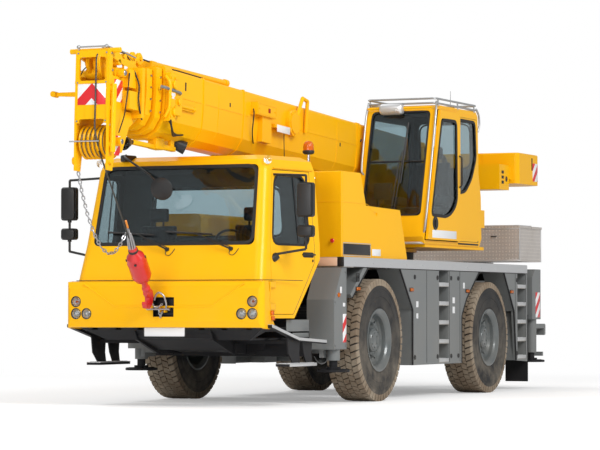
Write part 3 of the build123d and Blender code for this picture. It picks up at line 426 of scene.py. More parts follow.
def orange_peel_group():
    """Slow waviness of sprayed paint over a fine grain."""
    tree, ins, outs = new_group("Orange Peel", [("Scale", "Float", 60.0),
        ("Grain Scale", "Float", 400.0), ("Strength", "Float", 0.04), ("Distance", "Float", 0.004)],
        [("Normal", "Vector")])
    place = object_place(tree)
    slow = node(tree, "TexNoise", {"Vector": place, "Scale": ins["Scale"], "Detail": 2.0})
    fine = node(tree, "TexNoise", {"Vector": place, "Scale": ins["Grain Scale"], "Detail": 3.0})
    height = plus(tree, slow.outputs[0], times(tree, fine.outputs[0], 0.3))
    feed(outs, Normal=bump(tree, height, ins["Strength"], ins["Distance"]))
    return tree


def tread_plate_group():
    """Raised lozenges, turned by a quarter from one row to the next."""
    tree, ins, outs = new_group("Tread Plate", [("Pitch", "Float", 0.045)],
        [("Height", "Float"), ("Mask", "Float")])
    place = object_place(tree)
    scale = math_node(tree, "DIVIDE", 1.0, ins["Pitch"])
    spread = node(tree, "VectorMath", {0: place}, operation="SCALE")
    tree.links.new(scale, spread.inputs["Scale"])
    axes = node(tree, "SeparateXYZ", {0: spread.outputs[0]})
    flat = node(tree, "NewGeometry").outputs["Normal"]
    facing = node(tree, "SeparateXYZ", {0: flat})
    steep = math_node(tree, "LESS_THAN", math_node(tree, "ABSOLUTE", facing.outputs[2]), 0.6)
    sideways = math_node(tree, "GREATER_THAN", math_node(tree, "ABSOLUTE", facing.outputs[1]), 0.6)
    u = node(tree, "Mix", {"Factor": sideways, 2: axes.outputs[1], 3: axes.outputs[0]}).outputs[0]
    v = node(tree, "Mix", {"Factor": steep, 2: axes.outputs[0], 3: axes.outputs[2]}).outputs[0]
    rows = math_node(tree, "FRACT", times(tree, plus(tree, math_node(tree, "FLOOR", u),
        math_node(tree, "FLOOR", v)), 0.5))
    swap = math_node(tree, "GREATER_THAN", rows, 0.25)
    a = math_node(tree, "ABSOLUTE", math_node(tree, "SUBTRACT", math_node(tree, "FRACT", u), 0.5))
    b = math_node(tree, "ABSOLUTE", math_node(tree, "SUBTRACT", math_node(tree, "FRACT", v), 0.5))
    along = node(tree, "Mix", {"Factor": swap, 2: a, 3: b}).outputs[0]
    across = node(tree, "Mix", {"Factor": swap, 2: b, 3: a}).outputs[0]
    oval = plus(tree, times(tree, along, 1.0), times(tree, across, 3.2))
    raised = ramp(tree, oval, (0.36, 0.46), (1.0, 0.0), interpolation_type="SMOOTHSTEP")
    feed(outs, Height=raised, Mask=raised)
    return tree


def stripes_group():
    """Slanting bands of two colours across any two axes."""
    tree, ins, outs = new_group("Warning Stripes", [("Vector", "Vector", None),
        ("Pitch", "Float", 0.2), ("Slope X", "Float", 0.0), ("Slope Y", "Float", 1.0),
        ("Slope Z", "Float", 1.0), ("Shift", "Float", 0.0),
        ("First", "Color", (0.75, 0.02, 0.02, 1)), ("Second", "Color", (0.9, 0.9, 0.9, 1))],
        [("Color", "Color"), ("Mask", "Float")])
    axes = node(tree, "SeparateXYZ", {0: ins["Vector"]})
    total = times(tree, axes.outputs[0], ins["Slope X"])
    for k, label in ((1, "Slope Y"), (2, "Slope Z")):
        total = plus(tree, total, times(tree, axes.outputs[k], ins[label]))
    total = plus(tree, total, ins["Shift"])
    part = math_node(tree, "FRACT", math_node(tree, "DIVIDE", total, ins["Pitch"]))
    mask = math_node(tree, "GREATER_THAN", part, 0.5)
    feed(outs, Color=mix(tree, mask, ins["First"], ins["Second"]), Mask=mask)
    return tree


def weave_group():
    """Over-and-under threads of a coarse cloth."""
    tree, ins, outs = new_group("Cloth Weave", [("Pitch", "Float", 0.004),
        ("Color", "Color", (0.1, 0.1, 0.1, 1)), ("Fleck", "Color", (0.2, 0.2, 0.22, 1))],
        [("Color", "Color"), ("Height", "Float")])
    place = object_place(tree)
    scale = math_node(tree, "DIVIDE", math.pi, ins["Pitch"])
    spread = node(tree, "VectorMath", {0: place}, operation="SCALE")
    tree.links.new(scale, spread.inputs["Scale"])
    axes = node(tree, "SeparateXYZ", {0: spread.outputs[0]})
    warp = math_node(tree, "SINE", plus(tree, axes.outputs[0], axes.outputs[2]))
    weft = math_node(tree, "SINE", plus(tree, axes.outputs[1], axes.outputs[2]))
    height = times(tree, warp, weft)
    noise = node(tree, "TexNoise", {"Vector": place, "Scale": 90.0, "Detail": 4.0})
    fleck = ramp(tree, noise.outputs[0], (0.52, 0.66))
    feed(outs, Color=mix(tree, fleck, ins["Color"], ins["Fleck"]), Height=height)
    return tree


GROUPS = {}


def build_groups():
    for maker in (road_dust_group, orange_peel_group, tread_plate_group, stripes_group,
            weave_group):
        tree = maker()
        GROUPS[tree.name] = tree


def use_group(tree, name, links=None):
    return node(tree, "Group", links, node_tree=GROUPS[name])


# ---------------------------------------------------------------- finishes
def start_finish(name, **plain):
    """A material with its Principled shader; plain values go on the shader's own sockets."""
    made = bpy.data.materials.new(name)
    made.use_nodes = True
    shader = made.node_tree.nodes["Principled BSDF"]
    for key, value in plain.items():
        shader.inputs[key.replace("_", " ")].default_value = value
    return made.node_tree, shader


def paint(name, color, dust=0.3, rough=0.3, fade=1.4, coat=0.6, peel=0.04, metallic=0.0, soil=None,
        specular=0.5):
    tree, shader = start_finish(name, Coat_Weight=coat, Coat_Roughness=0.12, Metallic=metallic,
        Specular_IOR_Level=specular)
    links = {"Color": (*color, 1), "Amount": dust, "Fade Height": fade, "Roughness": rough}
    if soil:
        links["Dust"] = (*soil, 1)
    dirt = use_group(tree, "Road Dust", links)
    wave = use_group(tree, "Orange Peel", {"Strength": peel}).outputs[0]
    feed(shader, Base_Color=dirt.outputs[0], Roughness=dirt.outputs[1], Normal=wave)


def lined(name, color, lining, centre):
    """Paint outside and a grained lining on every face that looks towards the cab's middle."""
    tree, shader = start_finish(name, Coat_Weight=0.12, Coat_Roughness=0.12,
        Specular_IOR_Level=0.18)
    where = node(tree, "TexCoord")
    reach = node(tree, "VectorMath", {0: tuple(Vector(centre) + SHIFT), 1: where.outputs["Object"]},
        operation="SUBTRACT")
    inward = node(tree, "VectorMath", {0: reach.outputs[0], 1: where.outputs["Normal"]},
        operation="DOT_PRODUCT").outputs["Value"]
    inside = math_node(tree, "GREATER_THAN", inward, 0.0)
    dirt = use_group(tree, "Road Dust", {"Color": (*color, 1), "Amount": 0.08, "Fade Height": 1.6,
        "Roughness": 0.3})
    grain = node(tree, "TexNoise", {"Vector": where.outputs["Object"], "Scale": 260.0,
        "Detail": 3.0})
    shade = ramp(tree, grain.outputs[0], (0.0, 1.0), (0.7, 1.25))
    cover = mix(tree, 1.0, (*lining, 1), grey(tree, shade), "MULTIPLY")
    rough = plus(tree, dirt.outputs[1], times(tree, inside, 0.4))
    feed(shader, Base_Color=mix(tree, inside, dirt.outputs[0], cover), Roughness=rough,
        Normal=use_group(tree, "Orange Peel").outputs[0])


def grained(name, color, rough=0.55, grain=900.0, strength=0.25, dust=0.3, fade=1.2, distance=0.001,
        metallic=0.0):
    """Moulded plastic, rubber, cast iron or bare metal with its own grain."""
    tree, shader = start_finish(name, Metallic=metallic)
    dirt = use_group(tree, "Road Dust", {"Color": (*color, 1), "Amount": dust, "Fade Height": fade,
        "Roughness": rough})
    peel = use_group(tree, "Orange Peel", {"Scale": grain / 4, "Grain Scale": grain,
        "Strength": strength, "Distance": distance})
    feed(shader, Base_Color=dirt.outputs[0], Roughness=dirt.outputs[1], Normal=peel.outputs[0])


def tread_plate(name, color, pitch):
    tree, shader = start_finish(name, Metallic=0.35)
    plate = use_group(tree, "Tread Plate", {"Pitch": pitch})
    dirt = use_group(tree, "Road Dust", {"Color": (*color, 1), "Amount": 0.5, "Fade Height": 3.0,
        "Roughness": 0.36})
    shade = mix(tree, plate.outputs["Mask"], (0.72, 0.72, 0.74, 1), (1, 1, 1, 1))
    feed(shader, Base_Color=mix(tree, 1.0, dirt.outputs[0], shade, "MULTIPLY"),
        Roughness=dirt.outputs[1], Normal=bump(tree, plate.outputs["Height"], 0.7, 0.003))


def striped(name, slope, pitch, shift=0.0, first=(0.72, 0.015, 0.02), second=(0.86, 0.87, 0.88)):
    """Reflective sheet with slanting bands; the slope is along X, Y and Z."""
    tree, shader = start_finish(name, Roughness=0.34, Coat_Weight=0.4)
    place = object_place(tree)
    bands = use_group(tree, "Warning Stripes", {"Vector": place, "Pitch": pitch,
        "Slope X": slope[0], "Slope Y": slope[1], "Slope Z": slope[2], "Shift": shift,
        "First": (*first, 1), "Second": (*second, 1)})
    cells = node(tree, "TexVoronoi", {"Vector": place, "Scale": 260.0})
    shade = ramp(tree, cells.outputs["Distance"], (0.0, 0.6), (0.93, 1.05))
    feed(shader, Base_Color=mix(tree, 1.0, bands.outputs[0], grey(tree, shade), "MULTIPLY"))


def chevron(name, pitch, shift):
    """Bands that meet in a point on the middle line."""
    tree, shader = start_finish(name, Roughness=0.34, Coat_Weight=0.4)
    axes = node(tree, "SeparateXYZ", {0: node(tree, "TexCoord").outputs["Object"]})
    side = math_node(tree, "ABSOLUTE", axes.outputs[1])
    place = node(tree, "CombineXYZ", {0: axes.outputs[0], 1: side, 2: axes.outputs[2]})
    bands = use_group(tree, "Warning Stripes", {"Vector": place.outputs[0], "Pitch": pitch,
        "Slope Y": 1.0, "Slope Z": 1.0, "Shift": shift, "First": (0.72, 0.015, 0.02, 1),
        "Second": (0.86, 0.87, 0.88, 1)})
    feed(shader, Base_Color=bands.outputs[0])


def cloth(name, color, fleck, pitch=0.005):
    tree, shader = start_finish(name, Roughness=0.9, Sheen_Weight=0.3)
    weave = use_group(tree, "Cloth Weave", {"Pitch": pitch, "Color": (*color, 1),
        "Fleck": (*fleck, 1)})
    feed(shader, Base_Color=weave.outputs[0], Normal=bump(tree, weave.outputs["Height"], 0.5,
        0.001))


def clear(name, color, rough=0.0, ripple=0.0, transmission=1.0, ior=1.45):
    """Glass or a lamp's lens."""
    tree, shader = start_finish(name, Transmission_Weight=transmission, IOR=ior)
    place = object_place(tree)
    noise = node(tree, "TexNoise", {"Vector": place, "Scale": 2.2, "Detail": 5.0})
    haze = ramp(tree, noise.outputs[0], (0.35, 0.75), (rough, rough + 0.04))
    tint = ramp(tree, noise.outputs[0], (0.0, 1.0), (0.94, 1.0))
    feed(shader, Base_Color=mix(tree, 1.0, (*color, 1), grey(tree, tint), "MULTIPLY"),
        Roughness=haze)
    if ripple:
        ribs = node(tree, "TexWave", {"Vector": place, "Scale": ripple}).outputs[1]
        feed(shader, Normal=bump(tree, ribs, 0.35, 0.002))


def twisted(name, color, axis_scale, rough=0.4):
    """Wire rope: slanting strands round the bar, with painted shade in the valleys between them."""
    tree, shader = start_finish(name, Metallic=0.7, Roughness=rough)
    place = object_place(tree)
    strands = node(tree, "TexWave", {"Vector": place, "Scale": axis_scale},
        bands_direction="DIAGONAL").outputs[1]
    # painted shade: the colour at 0.35 of itself darkens the valleys between the strands
    dark = [c * 0.35 for c in color]
    feed(shader, Base_Color=mix(tree, strands, (*dark, 1), (*color, 1)),
        Normal=bump(tree, strands, 0.6, 0.003))


# ---------------------------------------------------------------- settings
def color_prop(name, text, value):
    return bpy.props.FloatVectorProperty(name=name, description=text, subtype="COLOR", size=3,
        min=0, max=1, default=value)


def length_prop(name, text, value, low=0.0):
    return bpy.props.FloatProperty(name=name, description=text, default=value, min=low,
        unit="LENGTH", subtype="DISTANCE")


class CranePaintSettings(bpy.types.PropertyGroup):
    yellow: color_prop("Yellow", "Main paint of cabs, boom and upper works", (0.95, 0.485, 0.004))
    grey: color_prop("Grey", "Paint of the side panels and outrigger covers", (0.175, 0.185, 0.185))
    black: color_prop("Black", "Paint of the frame and axles", (0.012, 0.012, 0.014))
    red: color_prop("Red", "Paint of the hook", (0.62, 0.012, 0.012))
    rim: color_prop("Rim", "Paint of the wheel rims", (0.115, 0.13, 0.132))


class CraneWheelSettings(bpy.types.PropertyGroup):
    lugs: bpy.props.IntProperty(name="Lugs", description="Tread blocks round one shoulder",
        default=52, min=12, max=80)
    lug_depth: length_prop("Lug depth", "Depth of the tread grooves", 0.022)
    nuts: bpy.props.IntProperty(name="Nuts", description="Wheel nuts on one hub", default=10, min=5,
        max=20)
    nut_circle: length_prop("Nut circle", "Radius of the circle of nuts", 0.19)


class CraneStageSettings(bpy.types.PropertyGroup):
    key: bpy.props.FloatProperty(name="Key lamp", description="Strength of the large soft lamp",
        default=3300.0, min=0)
    fill: bpy.props.FloatProperty(name="Fill lamp", description="Strength of the fill lamp",
        default=1600.0, min=0)
    sky: bpy.props.FloatProperty(name="Sky", description="Strength of the pale surroundings",
        default=0.42, min=0)
    lens: bpy.props.FloatProperty(name="Lens", description="Focal length of the camera in mm",
        default=163.5, min=10)


class CraneOperator:
    """Fields that all operators of this add-on share."""
    bl_options = {"REGISTER", "UNDO"}

    def execute(self, context):
        self.build(context.scene)
        return {"FINISHED"}


# ---------------------------------------------------------------- paint
NODE_FINISH = {
    "Window Glass": ("cab_glass", "door_glass", "crane_cab_glass", "crane_door_glass"),
    "Black Paint": ("chassis_frame", "outrigger_boxes", "axles", "knuckle", "slewing_ring",
        "winch", "jack"),
    "Deck Plate": ("deck",),
    "Grey Paint": ("side_panels", "rear_frame", "beam"),
    "Driver Cab Paint": ("cab_shell", "door"),
    "Cab Plastic": ("cab_interior", "crane_cab_interior"),
    "Black Plastic": ("mirror",),
    "Yellow Paint": ("front_bumper", "engine_hood", "hydraulic_tank", "turntable",
        "counterweight", "boom", "head_sheaves", "lift_barrel"),
    "Lamp Lens": ("front_lamps",),
    "Cast Iron": ("engine_block",),
    "Tread Plate": ("toolbox",),
    "Operator Cab Paint": ("crane_cab_shell", "crane_door"),
    "Wire Rope": ("hoist_rope",),
    "Red Paint": ("hook_block",),
    "Chrome": ("lift_rod",),
    "Tyre Rubber": ("tyre",),
    "Rim Paint": ("rim",)}


class CRANE_OT_paint(CraneOperator, bpy.types.Operator):
    """Make the finishes and paint the frame's own parts"""
    bl_idname = "crane.paint"
    bl_label = "Paint"

    def build(self, scene):
        tone = scene.crane_paint
        build_groups()
        paint("Yellow Paint", tone.yellow, dust=0.06, rough=0.3, fade=1.6, coat=0.1, specular=0.12)
        lined("Driver Cab Paint", tone.yellow, (0.1, 0.105, 0.11), (1.95, 0.0, 1.75))
        lined("Operator Cab Paint", tone.yellow, (0.07, 0.075, 0.08), (-2.6, 0.77, 2.7))
        paint("Grey Paint", tone.grey, dust=0.16, rough=0.38, fade=1.5, coat=0.15)
        paint("Black Paint", tone.black, dust=0.025, rough=0.46, fade=1.0, coat=0.02, specular=0.2)
        paint("Red Paint", tone.red, dust=0.2, rough=0.3, fade=1.0)
        paint("Rim Paint", tone.rim, dust=0.3, rough=0.36, fade=1.2, metallic=0.2)
        paint("White Paint", (0.82, 0.83, 0.84), dust=0.1, rough=0.35, coat=0.3)
        grained("Black Plastic", (0.012, 0.012, 0.013), rough=0.42, strength=0.2, dust=0.1)
        grained("Cab Plastic", (0.035, 0.036, 0.04), rough=0.62, strength=0.3, dust=0.1)
        grained("Seal Rubber", (0.008, 0.008, 0.009), rough=0.5, strength=0.1, dust=0.05)
        grained("Tyre Rubber", (0.016, 0.016, 0.017), rough=0.75, grain=500, strength=0.3,
            dust=0.55, distance=0.002)
        grained("Tread Rubber", (0.2, 0.145, 0.095), rough=0.85, grain=400, strength=0.4, dust=0.8,
            fade=6.0, distance=0.002)
        grained("Cast Iron", (0.09, 0.09, 0.095), rough=0.6, grain=300, strength=0.4,
            distance=0.003, metallic=0.4)
        grained("Steel", (0.42, 0.42, 0.43), rough=0.34, strength=0.08, metallic=1.0)
        grained("Chrome", (0.62, 0.63, 0.65), rough=0.14, strength=0.02, dust=0.05, metallic=1.0)
        grained("Aluminium", (0.66, 0.67, 0.68), rough=0.38, strength=0.1, metallic=0.6)
        tread_plate("Deck Plate", (0.6, 0.58, 0.52), 0.05)
        tread_plate("Tread Plate", (0.84, 0.78, 0.71), 0.045)
        grained("Guard Tube", (0.4, 0.41, 0.42), rough=0.34, strength=0.04, metallic=0.55)
        cloth("Seat Cloth", (0.02, 0.022, 0.026), (0.07, 0.075, 0.09))
        clear("Window Glass", (0.5, 0.6, 0.63))
        clear("Lamp Lens", (0.9, 0.92, 0.93), ripple=40.0)
        clear("Orange Lens", (0.95, 0.22, 0.01), rough=0.1, ripple=60.0, transmission=0.5)
        clear("Red Lens", (0.75, 0.01, 0.01), rough=0.1, ripple=60.0, transmission=0.5)
        twisted("Wire Rope", (0.11, 0.108, 0.1), 60.0)
        paint("Orange Strap", (0.85, 0.28, 0.02), dust=0.1, rough=0.6)
        paint("Peach Reflector", (0.9, 0.58, 0.4), dust=0.1, rough=0.3)
        striped("Stripes Left", (1.0, 0.0, 1.0), 0.2)
        striped("Stripes Right", (1.0, 0.0, -1.0), 0.2)
        striped("Stripes Rear", (0.0, 1.0, 1.0), 0.28)
        chevron("Chevron", 0.3, -3.12)
        for name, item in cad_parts.items():
            finish = next(f for f, starts in NODE_FINISH.items() if name.startswith(starts))
            item.data.materials.clear()
            item.data.materials.append(bpy.data.materials[finish])


# ---------------------------------------------------------------- wheels
def add_tyre(tag, axle_x, side, sizes):
    centre = Vector((axle_x, HUB.y * side, HUB.z))
    shape = Shape()
    groove = TYRE_R - sizes.lug_depth
    profile = [(0.32, 0), (0.32, -0.15), (0.346, -0.168), (0.356, -0.176), (0.366, -0.172),
        (0.372, -0.178), (0.42, -0.184), (0.47, -0.19), (0.476, -0.186), (0.484, -0.186),
        (0.49, -0.191), (0.56, -0.19), (0.567, -0.186), (0.574, -0.189), (0.61, -0.187),
        (0.645, -0.176), (groove, -0.15), (groove + 0.002, -0.08), (groove + 0.003, 0)]
    profile += [(r, -w) for r, w in reversed(profile[:-1])]
    shape.turned(profile, centre, (0, 1, 0), steps=72)
    step = math.tau / sizes.lugs
    blocks = Shape()
    for row, (low, high, lag) in enumerate(((-0.182, -0.112, 0), (-0.105, -0.04, 0.5),
            (-0.033, 0.033, 0), (0.04, 0.105, 0.5), (0.112, 0.182, 0))):
        outer = row in (0, 4)
        for k in range(sizes.lugs):
            add_lug(blocks, centre, low, high, (k + lag) * step, step, outer, groove, row)
    shape.done(f"tyre_tread_{tag}", "Tyre Rubber", f"wheel_{tag}", "tyre_rubber")
    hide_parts(f"tyre_{tag}")
    blocks.done(f"tyre_blocks_{tag}", "Tread Rubber", f"wheel_{tag}", "tyre_rubber")


def add_lug(shape, centre, low, high, turn, step, outer, groove, row):
    """One tread block: a bevelled slab that the shoulder lets run down the wall."""
    arc = TYRE_R * step * (0.76 if outer else 0.82)
    skew = 0.012 if row % 2 else -0.012
    top, base = TYRE_R, groove - 0.01
    outline = []
    for w, drop in ((low, 1 if row == 0 else 0), (high, 1 if row == 3 else 0)):
        for half in (-1, 1):
            lean = skew if w == high else -skew
            outline.append((w, half * arc / 2 + lean, top - 0.006 * drop))
    order = (outline[0], outline[1], outline[3], outline[2])
    verts = [shape.bm.verts.new((t, w, r)) for w, t, r in order]
    face = shape.bm.faces.new(verts)
    made = bmesh.ops.extrude_face_region(shape.bm, geom=[face])["geom"]
    under = [v for v in made if isinstance(v, bmesh.types.BMVert)]
    for v in under:
        edge = outer and abs(v.co.y) > 0.15
        v.co.z = base - (0.042 if edge else 0.0)
        v.co.y *= 1.045 if edge else 1.0
        v.co.x *= 1.06
    every = verts + under
    place = Matrix.Translation(centre) @ Matrix.Rotation(turn, 4, "Y")
    bmesh.ops.transform(shape.bm, matrix=place, verts=every)


def add_hub(tag, axle_x, side, sizes):
    centre = Vector((axle_x, HUB.y * side, HUB.z))
    out = Vector((0, side, 0))
    shape = Shape()
    for way in around(sizes.nuts, sizes.nut_circle):
        foot = centre + way + out * 0.043
        for low, high, radius, corners in ((0, 0.01, 0.021, 16), (0.008, 0.034, 0.0155, 6),
                (0.03, 0.046, 0.009, 10)):
            shape.rod(foot + out * low, foot + out * high, radius, sides=corners)
    shape.done(f"wheel_nuts_{tag}", "Rim Paint", f"wheel_{tag}")
    cap = Shape().turned([(0, 0.126), (0.06, 0.126), (0.066, 0.1235), (0.094, 0.1235), (0.1, 0.128),
        (0.11, 0.128), (0.114, 0.1225)], centre, out, steps=40)
    places = [centre + way + out * 0.1225 for way in around(6, 0.08, lag=0.5)]
    cap.bolts(places, out * 0.0085, 0.008).done(f"hub_cap_{tag}", "Rim Paint", f"wheel_{tag}")


class CRANE_OT_wheels(CraneOperator, bpy.types.Operator):
    """Add the treaded tyres, wheel nuts and hub caps"""
    bl_idname = "crane.wheels"
    bl_label = "Wheels"

    def build(self, scene):
        sizes = scene.crane_wheels
        for tag, axle_x, side in WHEELS:
            add_tyre(tag, axle_x, side, sizes)
            add_hub(tag, axle_x, side, sizes)


# ---------------------------------------------------------------- driver's cab
SCREEN = ((-0.945, 1.695), (0.945, 1.695), (0.905, 2.545), (-0.905, 2.545))
DOOR_PANE = ((1.66, 1.716), (2.342, 1.716), (2.185, 2.425), (1.66, 2.425))


def add_screen_seal():
    shape = Shape()
    corners = [(cab_front(z) - 0.012, y, z) for y, z in SCREEN]
    shape.band(corners, 0.036, 0.016, bend=0.12)
    rear = at_x(1.448, ((-0.8, 1.8), (-0.76, 2.35), (0.76, 2.35), (0.8, 1.8)))
    shape.band(rear, 0.026, 0.01, bend=0.12).done("windscreen_seal", "Seal Rubber")


def add_door_seal(side, s):
    shape = Shape()
    corners = [(x, cab_side(x, z) - 0.008, z) for x, z in DOOR_PANE]
    shape.band(corners, -0.024, -0.012, bend=0.1)
    lines = [(1.842, cab_side(1.842, z) - 0.01, z) for z in (1.722, 2.42)]
    shape.rod(*lines, 0.009, sides=8).done(f"door_seal_{side}", "Seal Rubber", f"door_{side}",
        flip=s < 0)


def add_wipers():
    for tag, y, reach in (("left", 0.69, 0.42), ("right", -0.053, 0.36)):
        z = 1.655
        out = cab_front(z) + 0.012
        foot = Vector((out, y, z))
        tip = Vector((cab_front(1.822) + 0.03, y - reach, 1.822))
        shape = Shape().rod((out - 0.03, y, z), (out + 0.022, y, z), 0.021, sides=16)
        shape.tube([foot + Vector((0.018, 0, 0)), foot.lerp(tip, 0.25) + Vector((0.03, 0, 0)), tip +
            Vector((0.016, 0, 0))], 0.009, sides=8, bend=0.05)
        shape.tube([foot + Vector((0.018, 0, 0.02)), foot.lerp(tip, 0.6) +
            Vector((0.03, 0, 0.012))], 0.005, sides=6)
        ends = [tip + Vector((-0.003, step, (-step) * 0.06)) for step in (0.19, -0.36)]
        shape.tube([ends[0], tip + Vector((0.012, 0, 0)), ends[1]], 0.008, sides=6, bend=0.2)
        low = [end - Vector((0.016, 0, 0.008)) for end in ends]
        shape.tube([low[0], low[0].lerp(low[1], 0.5), low[1]], 0.006, sides=6)
        hose = [(out, y - 0.01, z - 0.005), (out + 0.018, y - 0.02, z - 0.055),
            (out + 0.02, y + 0.03, z - 0.072), (out + 0.012, y + 0.07, z - 0.03),
            (out - 0.008, y + 0.085, z + 0.005)]
        shape.tube(hose, 0.0035, sides=6, bend=0.03).done(f"wiper_{tag}", "Black Plastic")


class CRANE_OT_cab_glazing(CraneOperator, bpy.types.Operator):
    """Add the rubber seals, the windows' bars and the wipers of the driver's cab"""
    bl_idname = "crane.cab_glazing"
    bl_label = "Cab glazing"

    def build(self, scene):
        add_screen_seal()
        add_wipers()
        for side, s in SIDES:
            add_door_seal(side, s)


def add_round_mirror():
    centre = Vector((2.66, -0.07, 2.285))
    shape = Shape().turned([(0, 0.018), (0.06, 0.015), (0.105, 0.004), (0.122, -0.01),
        (0.118, -0.02), (0, -0.022)], centre, (1, 0.15, -0.25), steps=36)
    shape.tube([centre + Vector((0.01, 0, 0)), (2.645, -0.2, 2.43), (2.5, -0.6, 2.645),
        (2.315, -0.668, 2.672)], 0.011, sides=8, bend=0.1)
    shape.prism([(2.19, -0.73), (2.35, -0.72), (2.4, -0.64), (2.19, -0.6)], "Z", 2.6, 2.672,
        bevel=0.014).done("round_mirror_arm", "Black Plastic")
    Shape().turned([(0, -0.026), (0.07, -0.0245), (0.112, -0.02)], centre, (1, 0.15, -0.25),
        steps=36).done("round_mirror_glass", "Chrome")


def add_beacon():
    foot = Vector((0.99, 0.88, 2.6))
    shape = Shape().tube([(0.868, 0.88, 2.42), (0.93, 0.88, 2.5), (0.99, 0.88, 2.56), foot, foot +
        Vector((0, 0, 0.13))], 0.014, sides=12, bend=0.04)
    shape.box((0.88, 0.845, 2.39), (0.892, 0.915, 2.47), bevel=0.003).done("beacon_stalk", "Chrome")
    Shape().turned([(0, 0), (0.045, 0), (0.062, 0.012), (0.066, 0.03), (0.06, 0.044), (0, 0.044)],
        foot + Vector((0, 0, 0.115)), (0, 0, 1)).done("beacon_base", "Black Plastic")
    Shape().turned([(0.058, 0), (0.058, 0.04), (0.054, 0.065), (0.044, 0.086), (0.028, 0.099),
        (0, 0.103)], foot + Vector((0, 0, 0.159)), (0, 0, 1)).done("beacon_dome", "Orange Lens")


def add_door_handle(side, s):
    shape = Shape()
    y0, y1 = cab_side(1.553, 1.604), cab_side(1.815, 1.604)
    shape.tube([(1.562, y0 + 0.01, 1.604), (1.69, (y0 + y1) / 2 + 0.022, 1.606),
        (1.806, y1 + 0.01, 1.604)], 0.009, sides=8, bend=0.05)
    plate = [(x, cab_side(x, z) + 0.001, z) for x, z in ((1.58, 1.574), (1.79, 1.574),
        (1.79, 1.628), (1.58, 1.628))]
    shape.band(plate, 0.0265, -0.003, bend=0.02)
    lock = Vector((1.6, cab_side(1.6, 1.54) + 0.002, 1.54))
    shape.rod(lock, lock + Vector((0, 0.006, 0)), 0.014, sides=16).done(f"door_handle_{side}",
        "Black Plastic", f"door_{side}", flip=s < 0)


def add_side_mirror(side, s):
    shape = Shape()
    for low, high in ((2.005, 2.325), (1.795, 1.88)):
        shape.box((2.196, 1.33, low), (2.199, 1.47, high), bevel=0.001)
    shape.done(f"mirror_glass_{side}", "Chrome", f"door_{side}", flip=s < 0)
    trim = Shape()
    for low, high in ((1.985, 2.345), (1.775, 1.9)):
        crown = [(1.318, low + 0.03), (1.335, low + 0.008), (1.465, low + 0.008),
            (1.482, low + 0.03), (1.482, high - 0.03), (1.465, high - 0.008), (1.335, high - 0.008),
            (1.318, high - 0.03)]
        trim.prism(crown, "X", 2.2595, 2.284, bevel=0.011, segments=3)
        trim.rod((2.23, 1.4, low - 0.02), (2.23, 1.4, low + 0.004), 0.022, sides=16)
    knob = Vector((2.35, 1.09, 1.56))
    trim.turned([(0, -0.06), (0.024, -0.055), (0.04, -0.02), (0.043, 0.015), (0.034, 0.05),
        (0, 0.055)], knob, (-0.3, 0.75, 0.6), steps=20).done(f"mirror_trim_{side}", "Black Plastic",
        f"door_{side}", flip=s < 0)


def add_roof_lamp(side, s):
    shape = Shape()
    foot = Vector((2.29, 0.99, 2.59))
    shape.turned([(0, 0.04), (0.022, 0.037), (0.038, 0.024), (0.045, 0.004), (0.042, -0.016),
        (0, -0.02)], foot, (0.75, 0.45, 0.35), steps=20).done(f"roof_lamp_{side}", "Lamp Lens",
        flip=s < 0)


def add_gap_lines():
    """Dark joint between the cab and the bumper, and the rain gutter over the doors."""
    Shape().tube([(1.95, 1.236, 1.326), (2.3, 1.165, 1.328), (2.6, 1.105, 1.328),
        (2.655, 1.085, 1.328), (2.662, 0.9, 1.328), (2.662, -0.9, 1.328), (2.655, -1.085, 1.328),
        (2.6, -1.105, 1.328), (2.3, -1.165, 1.328), (1.95, -1.236, 1.326)], 0.0035, sides=6,
        bend=0.03).done("cab_joint", "Seal Rubber")
    Shape().tube([(1.5, 1.15, 2.507), (2.2, 1.022, 2.507), (2.215, 1.018, 2.507)], 0.007,
        sides=6).twin().done("rain_gutters", "Yellow Paint")


class CRANE_OT_cab_fittings(CraneOperator, bpy.types.Operator):
    """Add the mirrors, handles, lamps and beacon round the driver's cab"""
    bl_idname = "crane.cab_fittings"
    bl_label = "Cab fittings"

    def build(self, scene):
        add_round_mirror()
        add_beacon()
        for side, s in SIDES:
            add_door_handle(side, s)
            add_side_mirror(side, s)
            add_roof_lamp(side, s)
        add_gap_lines()


# ---------------------------------------------------------------- bumper
LAMPS = ((1.03, 1.105, True), (1.03, 0.978, False), (0.905, 0.978, False))
BUMPER_X = 2.76


def add_bumper_lamps():
    rings, bowls, lenses, bulbs, amber = Shape(), Shape(), Shape(), Shape(), Shape()
    for y, z, signal in LAMPS:
        centre, out = Vector((BUMPER_X - 0.024, y, z)), (1, 0, 0)
        rings.turned([(0.0515, 0), (0.0515, 0.026), (0.056, 0.029), (0.059, 0.026), (0.059, 0.016)],
            centre, out, steps=36)
        bowls.turned([(0, -0.02), (0.018, -0.018), (0.036, -0.006), (0.045, 0.008), (0.0505, 0.01),
            (0.0505, 0.004)], centre, out, steps=36)
        lenses.turned([(0.0505, 0.01), (0.049, 0.017), (0.038, 0.022), (0.02, 0.025), (0, 0.026)],
            centre, out, steps=36)
        bulb = amber if signal else bulbs
        size = 0.008 if signal else 0.014
        bulb.ball(centre + Vector((0.002, 0, 0)), (size, size, size), sides=16)
        bulb.turned([(size, -0.016), (size + 0.004, -0.012), (size + 0.004, -0.002), (size, 0)],
            centre, out, steps=20)
    rings.twin().done("lamp_rings", "Black Plastic")
    bowls.twin().done("lamp_bowls", "Aluminium")
    bulbs.twin().done("lamp_bulbs", "White Paint")
    amber.twin().done("signal_bulbs", "Orange Lens")
    lens = lenses.twin().done("lamp_lenses", "Lamp Lens", slot="glass")
    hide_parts("front_lamps")


